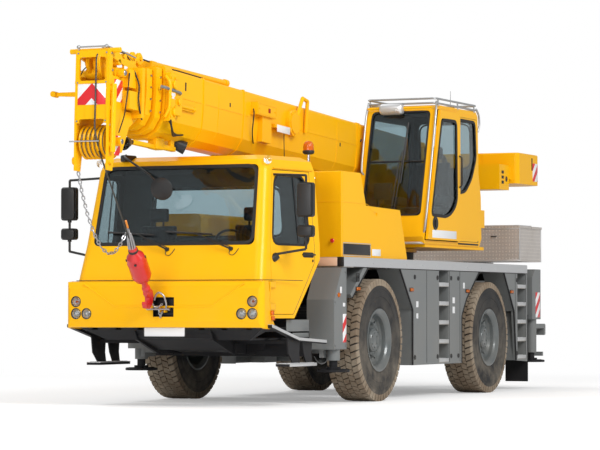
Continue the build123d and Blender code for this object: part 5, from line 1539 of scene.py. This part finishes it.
def add_head_details():
    """Bars, rollers, bolts and thin lines round the sheaves."""
    bright = Shape().rod((4.335, -0.235, -0.51), (4.335, 0.1, -0.51), 0.0085, sides=12)
    bright.rod((4.335, -0.1, -0.495), (4.3, -0.1, -0.44), 0.006, sides=8)
    on_boom(bright, "sheave_bar", "Chrome", "tele_3")
    yellow = Shape()
    for y in (-0.055, 0.03, 0.115):
        yellow.turned([(0.03, -0.02), (0.118, -0.02), (0.13, -0.012), (0.118, 0), (0.13, 0.012),
            (0.118, 0.02), (0.03, 0.02)], (4.11, y - 0.06, 0.3), (0, 1, 0), steps=36)
    yellow.rod((4.11, -HEAD_SIDE, 0.3), (4.11, HEAD_SIDE, 0.3), 0.032, sides=20)
    for x, z, size in ((3.8, 0.29, 0.07), (3.67, 0.32, 0.06), (3.53, 0.335, 0.055)):
        yellow.turned([(0.018, -0.018), (size, -0.018), (size + 0.012, -0.01), (size, 0),
            (size + 0.012, 0.01), (size, 0.018), (0.018, 0.018)], (x, 0.1, z + 0.075), (0, 1, 0),
            steps=28)
        yellow.box((x - 0.02, 0.065, z - 0.02), (x + 0.02, 0.08, z + 0.1), bevel=0.005)
        yellow.rod((x, 0.06, z + 0.075), (x, 0.135, z + 0.075), 0.015, sides=14)
    on_boom(yellow, "head_rollers", "Yellow Paint", "tele_3")
    bolts = Shape()
    for x, z in ((4.29, -0.7), (4.29, -0.35), (4.29, 0.37), (4.27, 0.2), (4.27, -0.1)):
        for way in (1, -1):
            bolts.bolts([(x, way * HEAD_SIDE, z)], (0, way * 0.01, 0), 0.014)
    places = [(y, z) for y in (-0.16, 0.16) for z in (-0.31, 0.075, 0.37)]
    bolts.bolts(at_x(NOSE_FACE - 0.004, places), (0.006, 0, 0), 0.01)
    for x, z, size in ((4.15, -0.503, 0.032), (4.11, 0.19, 0.028)):
        bolts.turned([(0, 0.012), (size - 0.006, 0.012), (size, 0.006), (size, 0)],
            (x, HEAD_SIDE + 0.06, z), (0, 1, 0), steps=24)
    on_boom(bolts, "head_bolts", "Steel", "tele_3")
    lines = Shape().tube([(4.27, 0.185, 0.405), (3.98, 0.185, 0.4), (3.8, 0.14, 0.36)], 0.006,
        sides=6)
    lines.tube([(3.99, -0.155, 0.372), (4.2, -0.175, 0.22), (4.24, -0.195, 0.14)], 0.006, sides=6)
    lines.tube([(3.9, 0.245, 0.24), (3.86, 0.285, 0.1), (3.9, 0.3, -0.06), (3.84, 0.29, -0.18),
        (3.76, 0.27, -0.24)], 0.008, sides=8, bend=0.05)
    lines.tube([(4.02, 0.255, 0.2), (4.06, 0.262, 0.02), (4.1, 0.25, -0.24), (4.2, 0.245, -0.42)],
        0.0065, sides=8, bend=0.05)
    on_boom(lines, "head_hoses", "Seal Rubber", "tele_3")


def add_mouth_details():
    """Clamps, small cylinders and the grey grab tube where the sections nest."""
    grab = Shape()
    ends = [(3.42, 0.3, 0.14), (3.4, 0.345, 0.13), (3.04, 0.345, 0.112), (3.0, 0.3, 0.105)]
    grab.tube(ends, 0.016, sides=12, bend=0.03)
    on_boom(grab, "grab_tube", "Grey Paint", "boom")
    clutter = Shape()
    for x, z, size in ((3.2, 0.18, 0.045), (3.2, -0.1, 0.04), (3.06, 0.02, 0.035)):
        clutter.turned([(0, 0.026), (size - 0.01, 0.026), (size, 0.018), (size, 0)],
            (x, 0.345 if x > 3.15 else 0.33, z), (0, 1, 0), steps=24)
    places = [(x, -0.15 + 0.1 * k) for k in range(5) for x in (3.185, 3.27)]
    clutter.bolts(at_y(0.344, places), (0, 0.012, 0), 0.012)
    clutter.tube([(3.31, 0.3, 0.26), (3.31, 0.352, 0.2), (3.31, 0.352, -0.06), (3.31, 0.3, -0.16)],
        0.018, sides=12, bend=0.04)
    clutter.rod((2.64, 0.304, -0.01), (3.12, 0.304, -0.01), 0.017, sides=16)
    for x in (2.64, 3.12):
        clutter.ball((x, 0.304, -0.01), 0.024, sides=14)
    on_boom(clutter, "mouth_fittings", "Yellow Paint", "boom")
    for step, x, inset in ((1, 3.36, 0.034), (2, 3.51, 0.068)):
        screws = Shape()
        for side in (-1, 1):
            places = [(x, side * (0.301 - inset), z) for z in (-0.12, 0, 0.12, 0.24)]
            screws.bolts(places, (0, side * 0.009, 0), 0.012)
        screws.bolts([(x, y, 0.374 - inset) for y in (-0.14, 0, 0.14)], (0, 0, 0.01), 0.012)
        on_boom(screws, "section_screws_" + str(step), "Steel", "tele_" + str(step))
    hoses = Shape()
    for k in range(3):
        hoses.tube([(3.28, 0.335 + 0.01 * k, -0.19), (3.22, 0.338, -0.26 - 0.02 * k),
            (3.02, 0.25, -0.29 - 0.02 * k), (2.86, 0.215, -0.3), (2.7, 0.205, -0.28)], 0.009,
            sides=8, bend=0.06)
    hoses.tube([(3.16, 0.2, 0.37), (2.9, 0.23, 0.368), (2.3, 0.24, 0.363)], 0.007, sides=8)
    on_boom(hoses, "mouth_hoses", "Seal Rubber", "boom")
    # painted shade: small black blocks on the boom's side stand in for the shade inside its slots
    slot_shade = Shape()
    for x, z in ((2.8, 0.235), (2.8, 0.19), (1.72, 0.15), (-1.3, 0.04)):
        slot_shade.box((x - 0.014, 0.2745, z - 0.022), (x + 0.014, 0.2795, z + 0.022), bevel=0.004)
    on_boom(slot_shade, "boom_slot_shade", "Black Plastic", "boom")


def add_base_details():
    """Long fold lines, blank plates and the reel box's fittings."""
    lines = Shape()
    for x0, x1 in ((-1.78, 0.1), (1.25, 3.12)):
        lines.tube([(x0, 0.2795, 0.082), (x1, 0.2795, 0.082)], 0.0035, sides=6)
    for x in (-1.2, 2.0):
        lines.tube([(x, 0.273, 0.34), (x, 0.2795, 0.075), (x, 0.264, -0.175), (x, 0.195, -0.292)],
            0.003, sides=6)
    on_boom(lines.twin(), "boom_folds", "Yellow Paint", "boom")
    labels = Shape().box((0.305, 0.35, -0.022), (0.655, 0.352, 0.058), bevel=0.0008)
    labels.box((3.172, 0.3452, 0.035), (3.278, 0.3468, 0.095), bevel=0.0006)
    on_boom(labels, "boom_blank_labels", "White Paint", "boom")
    box = Shape()
    corners = at_y(0.3605, ((0.705, 0.122), (0.705, 0.238), (1.175, 0.238), (1.175, 0.122)))
    box.band(corners, 0.006, 0.003, bend=0.015)
    box.bolts([(x, 0.36, 0.18) for x in (0.74, 1.14)], (0, 0.007, 0), 0.01)
    reel = Vector((0.13, 0.33, 0.13))
    box.bolts([reel + at for at in around(8, 0.135)], (0, 0.008, 0), 0.009)
    on_boom(box, "reel_fittings", "Yellow Paint", "boom")
    on_boom(Shape().box((0.865, 0.36, 0.155), (0.915, 0.366, 0.205), bevel=0.004), "reel_button",
        "Red Lens", "boom")
    wire = Shape().tube([(0.42, 0.33, 0.025), (0.43, 0.335, -0.1), (0.4, 0.33, -0.28)], 0.005,
        sides=8, bend=0.05)
    wire.tube([(1.18, 0.3, 0.18), (1.22, 0.33, 0.12), (1.2, 0.3, -0.1), (1.1, 0.27, -0.2)], 0.007,
        sides=8, bend=0.06)
    on_boom(wire, "boom_wires", "Seal Rubber", "boom")
    pins = Shape()
    for way in (-1, 1):
        eye = BOOM_AT.inverted() @ Vector((-0.1, way * 0.15, 2.545))
        pins.turned([(0, 0.014), (0.034, 0.014), (0.042, 0.006), (0.042, 0)], eye, (0, way, 0),
            steps=24)
    on_boom(pins, "lift_eye_caps", "Steel", "boom")


def add_work_lamps():
    """Black lamps on the bar beneath the boom's mouth."""
    bar = Shape().boxes([((3.14, 0.07, -0.472), (3.64, 0.125, -0.425)),
        ((2.7, 0.07, -0.455), (3.16, 0.13, -0.405))], bevel=0.008)
    bar.box((3.0, 0.04, -0.47), (3.18, 0.15, -0.35), bevel=0.012)
    bar.boxes([((2.72, 0.08, -0.42), (2.8, 0.12, -0.325)),
        ((3.08, 0.08, -0.38), (3.12, 0.12, -0.3))], bevel=0.006)
    on_boom(bar, "lamp_bar", "Yellow Paint", "boom")
    lamps = Shape()
    for x, z, way in ((3.8, -0.475, (1, 0.25, -0.2)), (2.62, -0.375, (-0.55, 0.75, -0.35))):
        lamps.turned([(0, -0.105), (0.036, -0.102), (0.054, -0.075), (0.06, 0), (0.068, 0.06),
            (0.07, 0.082), (0.061, 0.084)], (x, 0.11, z), way, steps=28)
        back = 3.6 if x > 3 else 2.74
        lamps.rod((back, 0.1, -0.445 if x > 3 else -0.43), (x, 0.11, z), 0.02, sides=12)
    on_boom(lamps, "work_lamps", "Black Plastic", "boom")
    glass = Shape()
    for x, z, way in ((3.8, -0.475, (1, 0.25, -0.2)), (2.62, -0.375, (-0.55, 0.75, -0.35))):
        glass.turned([(0.0625, 0.076), (0.04, 0.08), (0, 0.083)], (x, 0.11, z), way, steps=28)
    on_boom(glass, "work_lamp_lenses", "Lamp Lens", "boom")


class CRANE_OT_boom(CraneOperator, bpy.types.Operator):
    """Add the warning plates, lamps, hoses and brackets of the boom"""
    bl_idname = "crane.boom"
    bl_label = "Boom"

    def build(self, scene):
        add_warning_plates()
        add_head_details()
        add_mouth_details()
        add_base_details()
        add_work_lamps()


def add_head_rope():
    """Single line from the upper sheave, down the front plate to the lower one."""
    shape = Shape()
    points = [(3.3, 0.1, 0.415), (3.8, 0.09, 0.435), (4.1, 0.062, 0.448), (4.26, 0.055, 0.43),
        (4.345, 0.052, 0.34), (4.349, 0.052, 0), (4.349, 0.052, -0.4)]
    points = [boom_point(*p) for p in points] + [Vector((4.318, 0.066, 2.64))]
    shape.tube(points, 0.0085, bend=0.1).done("head_rope", "Wire Rope", "tele_3")

    Shape().turned([(0.03, -0.022), (0.06, -0.012), (0.135, -0.01), (0.158, -0.018),
        (0.163, -0.014), (0.152, 0), (0.163, 0.014), (0.158, 0.018), (0.135, 0.01), (0.06, 0.012),
        (0.03, 0.022)], boom_point(4.185, 0.07, 0.282), (0, 1, 0), steps=56).done("top_sheave",
        "Yellow Paint", "tele_3")
    bars = Shape()
    corners = [boom_point(*p) for p in ((4.3, -0.17, 0.36), (4.315, -0.17, 0.438),
        (4.315, 0.145, 0.438), (3.98, 0.15, 0.425), (3.7, 0.15, 0.4))]
    bars.tube(corners, 0.0085, bend=0.03)
    for k in (1, 2):
        bars.ball(corners[k], 0.02, sides=12)
    bars.done("rope_guard_bars", "Guard Tube", "tele_3")


def add_sheave_groove_bottoms():
    """Dark bottoms of the lower sheaves' grooves."""
    shape = Shape()
    for k in range(6):
        y = -0.12 + 0.048 * k
        shape.turned([(0.149, -0.0035), (0.1585, -0.0035), (0.1585, 0.0035), (0.149, 0.0035)],
            boom_point(4.15, y, -0.503), (0, 1, 0), steps=48)
    shape.done("sheave_grooves", "Cast Iron", "tele_3")


def add_rope_ends():
    """Bundle of bright strands over the weight, held by a ring."""
    low, high = Vector((3.385, -0.039, 1.65)), Vector((3.47, -0.028, 1.795))
    way = (high - low).normalized()
    side = way.orthogonal().normalized()
    shape = Shape()
    for k in range(8):
        turn = Matrix.Rotation(math.tau * k / 8, 3, way) @ side
        shape.tube([low + turn * 0.034, low.lerp(high, 0.5) + turn * 0.03, high + turn * 0.016],
            0.0085, sides=8)
    shape.done("rope_ends", "Steel", "hook")
    ring = Shape()
    top = high + way * 0.03
    ring.tube([top - side * 0.036 - way * 0.02, top - side * 0.03 + way * 0.028, top + side * 0.03 +
        way * 0.028, top + side * 0.036 - way * 0.02], 0.0085, bend=0.03)
    ring.rod(top - side * 0.046 - way * 0.02, top + side * 0.046 - way * 0.02, 0.008,
        sides=10).done("rope_shackle", "Steel", "hook")
    Shape().tube([(3.5, -0.026, 1.855), (3.56, -0.019, 1.925)], 0.0105, sides=8).done("rope_clip",
        "Orange Strap", "hook")


def add_hang_chain():
    shape = Shape()
    points = [(4.235, -0.205, 2.415), (4.175, -0.193, 2.2), (4.09, -0.176, 1.98),
        (3.985, -0.155, 1.785), (3.875, -0.132, 1.645), (3.765, -0.11, 1.585), (3.665, -0.09, 1.6),
        (3.57, -0.07, 1.69), (3.495, -0.05, 1.805)]
    chain = shape.links(points, 0.058, 0.0062).done("hook_chain", "Steel", None)
    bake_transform(chain)


def add_hook_details():
    """Pads and seam rings of the hook, drawn on its own line."""
    top = Vector((3.38, -0.04, 1.66))
    rope_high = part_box("hoist_rope")[1]
    way = (top - (rope_high - SHIFT)).normalized()
    side = Vector((0, 1, 0)).cross(way).normalized()
    across = way.cross(side)
    shape = Shape()
    for turn in (0.4, 1.9, 3.5, 5.0):
        out = (across * math.cos(turn) + side * math.sin(turn))
        at = top + way * 0.165 + out * 0.099
        shape.rod(at, at + out * 0.008, 0.014, sides=12)
    shape.turned([(0.047, 0.036), (0.052, 0.04), (0.052, 0.062), (0.047, 0.066)], top,
        way).done("hook_pads", "Black Plastic", "hook")
    seam = Shape()
    for reach in (0.205, 0.395):
        seam.turned([(0.1035, reach - 0.004), (0.1058, reach), (0.1035, reach + 0.004)], top, way,
            steps=48)
    seam.done("hook_rings", "Red Paint", "hook")


class CRANE_OT_rigging(CraneOperator, bpy.types.Operator):
    """Add the rope over the head, the rope ends and the chain at the hook"""
    bl_idname = "crane.rigging"
    bl_label = "Rigging"

    def build(self, scene):
        add_head_rope()
        add_sheave_groove_bottoms()
        add_rope_ends()
        add_hang_chain()
        add_hook_details()


# ---------------------------------------------------------------- inside of the cabs
PAD_VOXEL, PAD_PRESSURE, PAD_FRAMES = 0.011, 4, 16
CHANNEL_HALF_WIDTH, CHANNEL_DEPTH = 0.016, 0.009


def bake(piece):
    """The piece's modifiers become its mesh."""
    graph = bpy.context.evaluated_depsgraph_get()
    mesh = bpy.data.meshes.new_from_object(piece.evaluated_get(graph))
    old, piece.data = piece.data, mesh
    piece.modifiers.clear()
    bpy.data.meshes.remove(old)


def cushion(name, low, high, body, rest, channels=(), cap=0.014):
    """A stuffed pad between two corners, flat on its resting side, with sewn channels."""
    low, high = Vector(low), Vector(high)
    inset = Vector((0.01, 0.01, 0.01))
    shape = Shape().box(low + inset, high - inset, bevel=0.022, segments=3)
    piece = shape.done(name, "Seat Cloth", None)
    remesh = piece.modifiers.new("Remesh", "REMESH")
    remesh.mode = "VOXEL"
    remesh.voxel_size = PAD_VOXEL
    bake(piece)
    start = [v.co.copy() for v in piece.data.vertices]
    cloth = piece.modifiers.new("Cloth", "CLOTH")
    cloth.settings.use_pressure = True
    cloth.settings.uniform_pressure_force = PAD_PRESSURE
    cloth.settings.effector_weights.gravity = 0
    cloth.settings.quality = 4
    scene = bpy.context.scene
    for frame in range(1, PAD_FRAMES + 1):
        scene.frame_set(frame)
    bake(piece)
    scene.frame_set(1)
    axis = "xyz".index(rest)
    floor = (low + SHIFT)[axis]
    top = (high + SHIFT)[axis]
    for vertex, was in zip(piece.data.vertices, start):
        move = vertex.co - was
        if move.length > cap:
            move *= cap / move.length
        place = was + move
        up = (place[axis] - floor) / (top - floor)
        place[axis] = max(place[axis], floor)
        for line in channels:
            near = abs(place.y - line) / CHANNEL_HALF_WIDTH
            if near < 1 and up > 0.6:
                place[axis] -= CHANNEL_DEPTH * (1 - near * near) ** 2
        vertex.co = place
    smooth = piece.modifiers.new("Subdivision", "SUBSURF")
    smooth.levels = smooth.render_levels = 1
    bake(piece)
    piece.data.shade_smooth()
    if not piece.data.materials:
        piece.data.materials.append(bpy.data.materials["Seat Cloth"])
    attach(piece, body)
    return piece


def add_wheel():
    centre, tilt = Vector((2.18, 0.56, 1.69)), math.radians(-50)
    turn = Matrix.Rotation(tilt, 4, "Y")
    rim = Shape()
    loop = [turn @ Vector((math.cos(a) * 0.215, math.sin(a) * 0.215, 0)) + centre
        for a in (math.tau * k / 40 for k in range(40))]
    rim.tube(loop, 0.014, sides=12, closed=True)
    for angle in (0.5, math.pi - 0.5, -0.5, math.pi + 0.5):
        out = turn @ Vector((math.sin(angle) * 0.205, math.cos(angle) * 0.205, 0))
        rim.tube([centre + out * 0.2 + turn @ Vector((0, 0, -0.02)), centre + out + turn @
            Vector((0, 0, -0.002))], 0.011, sides=8)
    axle = turn @ Vector((0, 0, -1))
    rim.turned([(0, 0.004), (0.038, 0.002), (0.062, 0.016), (0.064, 0.034), (0, 0.042)], centre,
        axle)
    rim.rod(centre + axle * 0.03, Vector((2.3, 0.56, 1.56)), 0.032, far=0.042)
    for side in (-1, 1):
        rim.tube([centre + axle * 0.07, centre + axle * 0.06 + Vector((0, side * 0.14, 0.01))],
            0.007, sides=8)
    rim.done("steering_wheel", "Black Plastic")


class CRANE_OT_driver_inside(CraneOperator, bpy.types.Operator):
    """Add the seats, dashboard and wheel of the driver's cab"""
    bl_idname = "crane.driver_inside"
    bl_label = "Driver's Cab Inside"

    def build(self, scene):
        dash = Shape().prism([(2.475, 0.975), (2.475, 1.5), (2.42, 1.585), (2.3, 1.59),
            (2.265, 1.42), (2.3, 1.2), (2.3, 0.975)], "Y", -0.88, 0.88, bevel=0.015)
        dash.prism([(2.27, 1.5), (2.3, 1.59), (2.42, 1.6), (2.44, 1.5)], "Y", 0.3, 0.82,
            bevel=0.012)
        dash.box((2.262, -0.2, 1.2), (2.32, 0.12, 1.54), bevel=0.012)
        for y in (-0.72, -0.52, 0.2):
            dash.box((2.262, y - 0.07, 1.47), (2.29, y + 0.07, 1.53), bevel=0.004)
        for y in (0.4, 0.56, 0.72):
            dash.box((2.27, y - 0.03, 1.02), (2.3, y + 0.03, 1.1), bevel=0.006)
        dash.box((1.7, -0.12, 0.97), (2.2, 0.14, 1.34), bevel=0.03)
        dash.box((1.68, -0.88, 0.966), (2.3, 0.88, 0.985), bevel=0.004)
        for side in (-1, 1):
            y = side * 0.565
            dash.box((1.8, y - 0.17, 1.185), (2.12, y + 0.17, 1.285), bevel=0.02)
            dash.rod((1.96, y, 0.975), (1.96, y, 1.2), 0.075, far=0.1, sides=28)
            for x in (1.72, 1.74):
                dash.rod((x, y - 0.05, 1.92), (x, y - 0.05, 1.99), 0.006, sides=10)
                dash.rod((x, y + 0.05, 1.92), (x, y + 0.05, 1.99), 0.006, sides=10)
        piece = dash.done("driver_dash", "Cab Plastic")
        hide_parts("cab_interior")
        add_wheel()
        for side, label in ((1, "left"), (-1, "right")):
            y = side * 0.565
            cushion("driver_seat_" + label, (1.78, y - 0.235, 1.28), (2.18, y + 0.235, 1.4),
                "carrier", "z", (y - 0.13, y + 0.13))
            cushion("driver_back_" + label, (1.68, y - 0.225, 1.4), (1.79, y + 0.225, 1.95),
                "carrier", "x", (y - 0.12, y + 0.12))
            cushion("driver_headrest_" + label, (1.695, y - 0.125, 1.96), (1.765, y + 0.125, 2.13),
                "carrier", "x")


class CRANE_OT_operator_inside(CraneOperator, bpy.types.Operator):
    """Add the seat, consoles, levers and screen of the crane operator's cab"""
    bl_idname = "crane.operator_inside"
    bl_label = "Operator's Cab Inside"

    def build(self, scene):
        body = UPPER
        stand = Shape().box((-2.95, 0.6, 1.965), (-2.6, 0.94, 2.145), bevel=0.02)
        for y in (0.4, 1.04):
            stand.prism([(-2.9, 2.29), (-2.36, 2.29), (-2.345, 2.35), (-2.4, 2.4), (-2.9, 2.39)],
                "Y", y, y + 0.09, bevel=0.014)
            stand.rod((-2.43, y + 0.045, 2.38), (-2.42, y + 0.045, 2.46), 0.02, far=0.012, sides=16)
            stand.turned([(0, 0), (0.014, 0.002), (0.02, 0.04), (0.024, 0.075), (0.012, 0.09),
                (0, 0.092)], (-2.42, y + 0.045, 2.45), (0.1, 0, 1), steps=20)
            stand.prism([(-2.8, 2.06), (-2.66, 2.06), (-2.6, 2.3), (-2.76, 2.3)], "Y", y + 0.02, y +
                0.07)
        for y in (0.72, 0.82):
            stand.rod((-3.06, y, 2.82), (-3.06, y, 2.88), 0.006, sides=10)
        stand.box((-2.06, 0.42, 2.34), (-1.98, 0.64, 2.54), bevel=0.012)
        stand.tube([(-2.02, 0.46, 1.98), (-2.02, 0.46, 2.36)], 0.016, sides=12)
        for y in (0.66, 0.8, 0.94):
            stand.box((-2.06, y - 0.035, 2.01), (-1.93, y + 0.035, 2.03), bevel=0.005,
                turn=Matrix.Rotation(math.radians(-32), 4, "Y"))
        piece = stand.done("operator_stand", "Cab Plastic", body)
        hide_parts("crane_cab_interior")
        cushion("operator_seat", (-3.0, 0.52, 2.145), (-2.5, 1.02, 2.265), body, "z", (0.65, 0.89))
        cushion("operator_back", (-3.125, 0.54, 2.26), (-3.0, 1.0, 2.85), body, "x", (0.66, 0.88))
        cushion("operator_headrest", (-3.105, 0.645, 2.86), (-3.015, 0.895, 3.03), body, "x")


# ---------------------------------------------------------------- stage
CAMERA_AT = (28.167, 12.879, 1.0)
CAMERA_YAW, CAMERA_PITCH = math.radians(24), math.radians(1.82)
CLIP_END, FLOOR_RADIUS = 300, 60
LAMP_TARGET = Vector((0, 0, 1.6))


def seen_rays(tree):
    """One for what the camera sees, also through glass."""
    path = node(tree, "LightPath").outputs
    return math_node(tree, "MAXIMUM", path["Is Camera Ray"], path["Is Transmission Ray"])


def add_pale_floor():
    """White for the camera beyond the crane; it keeps the shadow near it."""
    made = bpy.data.materials.new("Pale Floor")
    made.use_nodes = True
    tree = made.node_tree
    shader = tree.nodes["Principled BSDF"]
    shader.inputs["Roughness"].default_value = 0.85
    place = object_place(tree)
    noise = node(tree, "TexNoise", {"Vector": place, "Scale": 40.0, "Detail": 8.0})
    tone = ramp(tree, noise.outputs[0], (0, 1.0), (0.86, 0.9))
    far = node(tree, "VectorMath", {0: place}, operation="LENGTH").outputs["Value"]
    fade = ramp(tree, far, (7.0, 14.0), (0, 1.0), interpolation_type="SMOOTHSTEP")
    seen = seen_rays(tree)
    shader.inputs["Emission Color"].default_value = (1, 1, 1, 1)
    feed(shader, Base_Color=grey(tree, tone), Emission_Strength=times(tree, seen, 0.3))
    white = node(tree, "Emission")
    blend = node(tree, "MixShader", {0: times(tree, seen, fade), 1: shader.outputs[0],
        2: white.outputs[0]})
    tree.links.new(blend.outputs[0], tree.nodes["Material Output"].inputs[0])
    return made


def add_lamp(name, place, size, power):
    data = bpy.data.lights.new(name, "AREA")
    data.size = size
    data.energy = power
    item = in_scene(name, data)
    item.location = place
    way = LAMP_TARGET - Vector(place)
    item.rotation_euler = way.to_track_quat("-Z", "Y").to_euler()


class CRANE_OT_stage(CraneOperator, bpy.types.Operator):
    """Set up the floor, lamps and camera"""
    bl_idname = "crane.stage"
    bl_label = "Stage"

    def build(self, scene):
        values = scene.crane_stage
        floor_material = add_pale_floor()
        floor = bpy.data.meshes.new("floor")
        bm = bmesh.new()
        bmesh.ops.create_circle(bm, cap_ends=True, segments=64, radius=FLOOR_RADIUS)
        bm.to_mesh(floor)
        bm.free()
        floor.materials.append(floor_material)
        in_scene("floor", floor)
        add_lamp("key", (10, 17, 14), 9, values.key)
        add_lamp("fill", (24, 1, 8), 9, values.fill)
        add_lamp("top", (-2, -10, 16), 12, values.fill * 0.6)
        world = bpy.data.worlds.new("Pale Room")
        scene.world = world
        world.use_nodes = True
        tree = world.node_tree
        back = tree.nodes["Background"]
        strength = node(tree, "MapRange", {"Value": seen_rays(tree), 3: values.sky, 4: 1.0})
        back.inputs[0].default_value = (1, 1, 1, 1)
        feed(back, Strength=strength.outputs[0])
        camera = bpy.data.cameras.new("camera")
        camera.lens = values.lens
        camera.clip_end = CLIP_END
        item = in_scene("camera", camera)
        item.location = Vector(CAMERA_AT) + SHIFT
        way = Vector((-math.cos(CAMERA_YAW) * math.cos(CAMERA_PITCH), -math.sin(CAMERA_YAW) *
            math.cos(CAMERA_PITCH), math.sin(CAMERA_PITCH)))
        item.rotation_euler = way.to_track_quat("-Z", "Y").to_euler()
        scene.camera = item
        scene.view_settings.view_transform = "Standard"


OPERATORS = (CRANE_OT_paint, CRANE_OT_wheels, CRANE_OT_cab_glazing, CRANE_OT_cab_fittings,
    CRANE_OT_bumper, CRANE_OT_sides, CRANE_OT_operator_cab, CRANE_OT_counterweight, CRANE_OT_tail,
    CRANE_OT_boom, CRANE_OT_rigging, CRANE_OT_driver_inside, CRANE_OT_operator_inside,
    CRANE_OT_stage)


# ---------------------------------------------------------------- add-on
class CRANE_PT_panel(bpy.types.Panel):
    """Steps that dress the crane, in order"""
    bl_idname = "CRANE_PT_panel"
    bl_label = "Mobile Crane"
    bl_space_type = "VIEW_3D"
    bl_region_type = "UI"
    bl_category = "Crane"

    def draw(self, context):
        scene = context.scene
        for group in (scene.crane_paint, scene.crane_wheels, scene.crane_stage):
            box = self.layout.box()
            for key in group.__annotations__:
                box.prop(group, key)
        for operator in OPERATORS:
            self.layout.operator(operator.bl_idname)


SETTINGS = (("crane_paint", CranePaintSettings), ("crane_wheels", CraneWheelSettings),
    ("crane_stage", CraneStageSettings))


def register():
    for name, group in SETTINGS:
        bpy.utils.register_class(group)
        setattr(bpy.types.Scene, name, bpy.props.PointerProperty(type=group))
    for operator in OPERATORS:
        bpy.utils.register_class(operator)
    bpy.utils.register_class(CRANE_PT_panel)


def unregister():
    bpy.utils.unregister_class(CRANE_PT_panel)
    for operator in reversed(OPERATORS):
        bpy.utils.unregister_class(operator)
    for name, group in reversed(SETTINGS):
        delattr(bpy.types.Scene, name)
        bpy.utils.unregister_class(group)


def main():
    register()
    for operator in OPERATORS:
        group, step = operator.bl_idname.split(".")
        getattr(getattr(bpy.ops, group), step)()


if __name__ == "__main__":
    main()
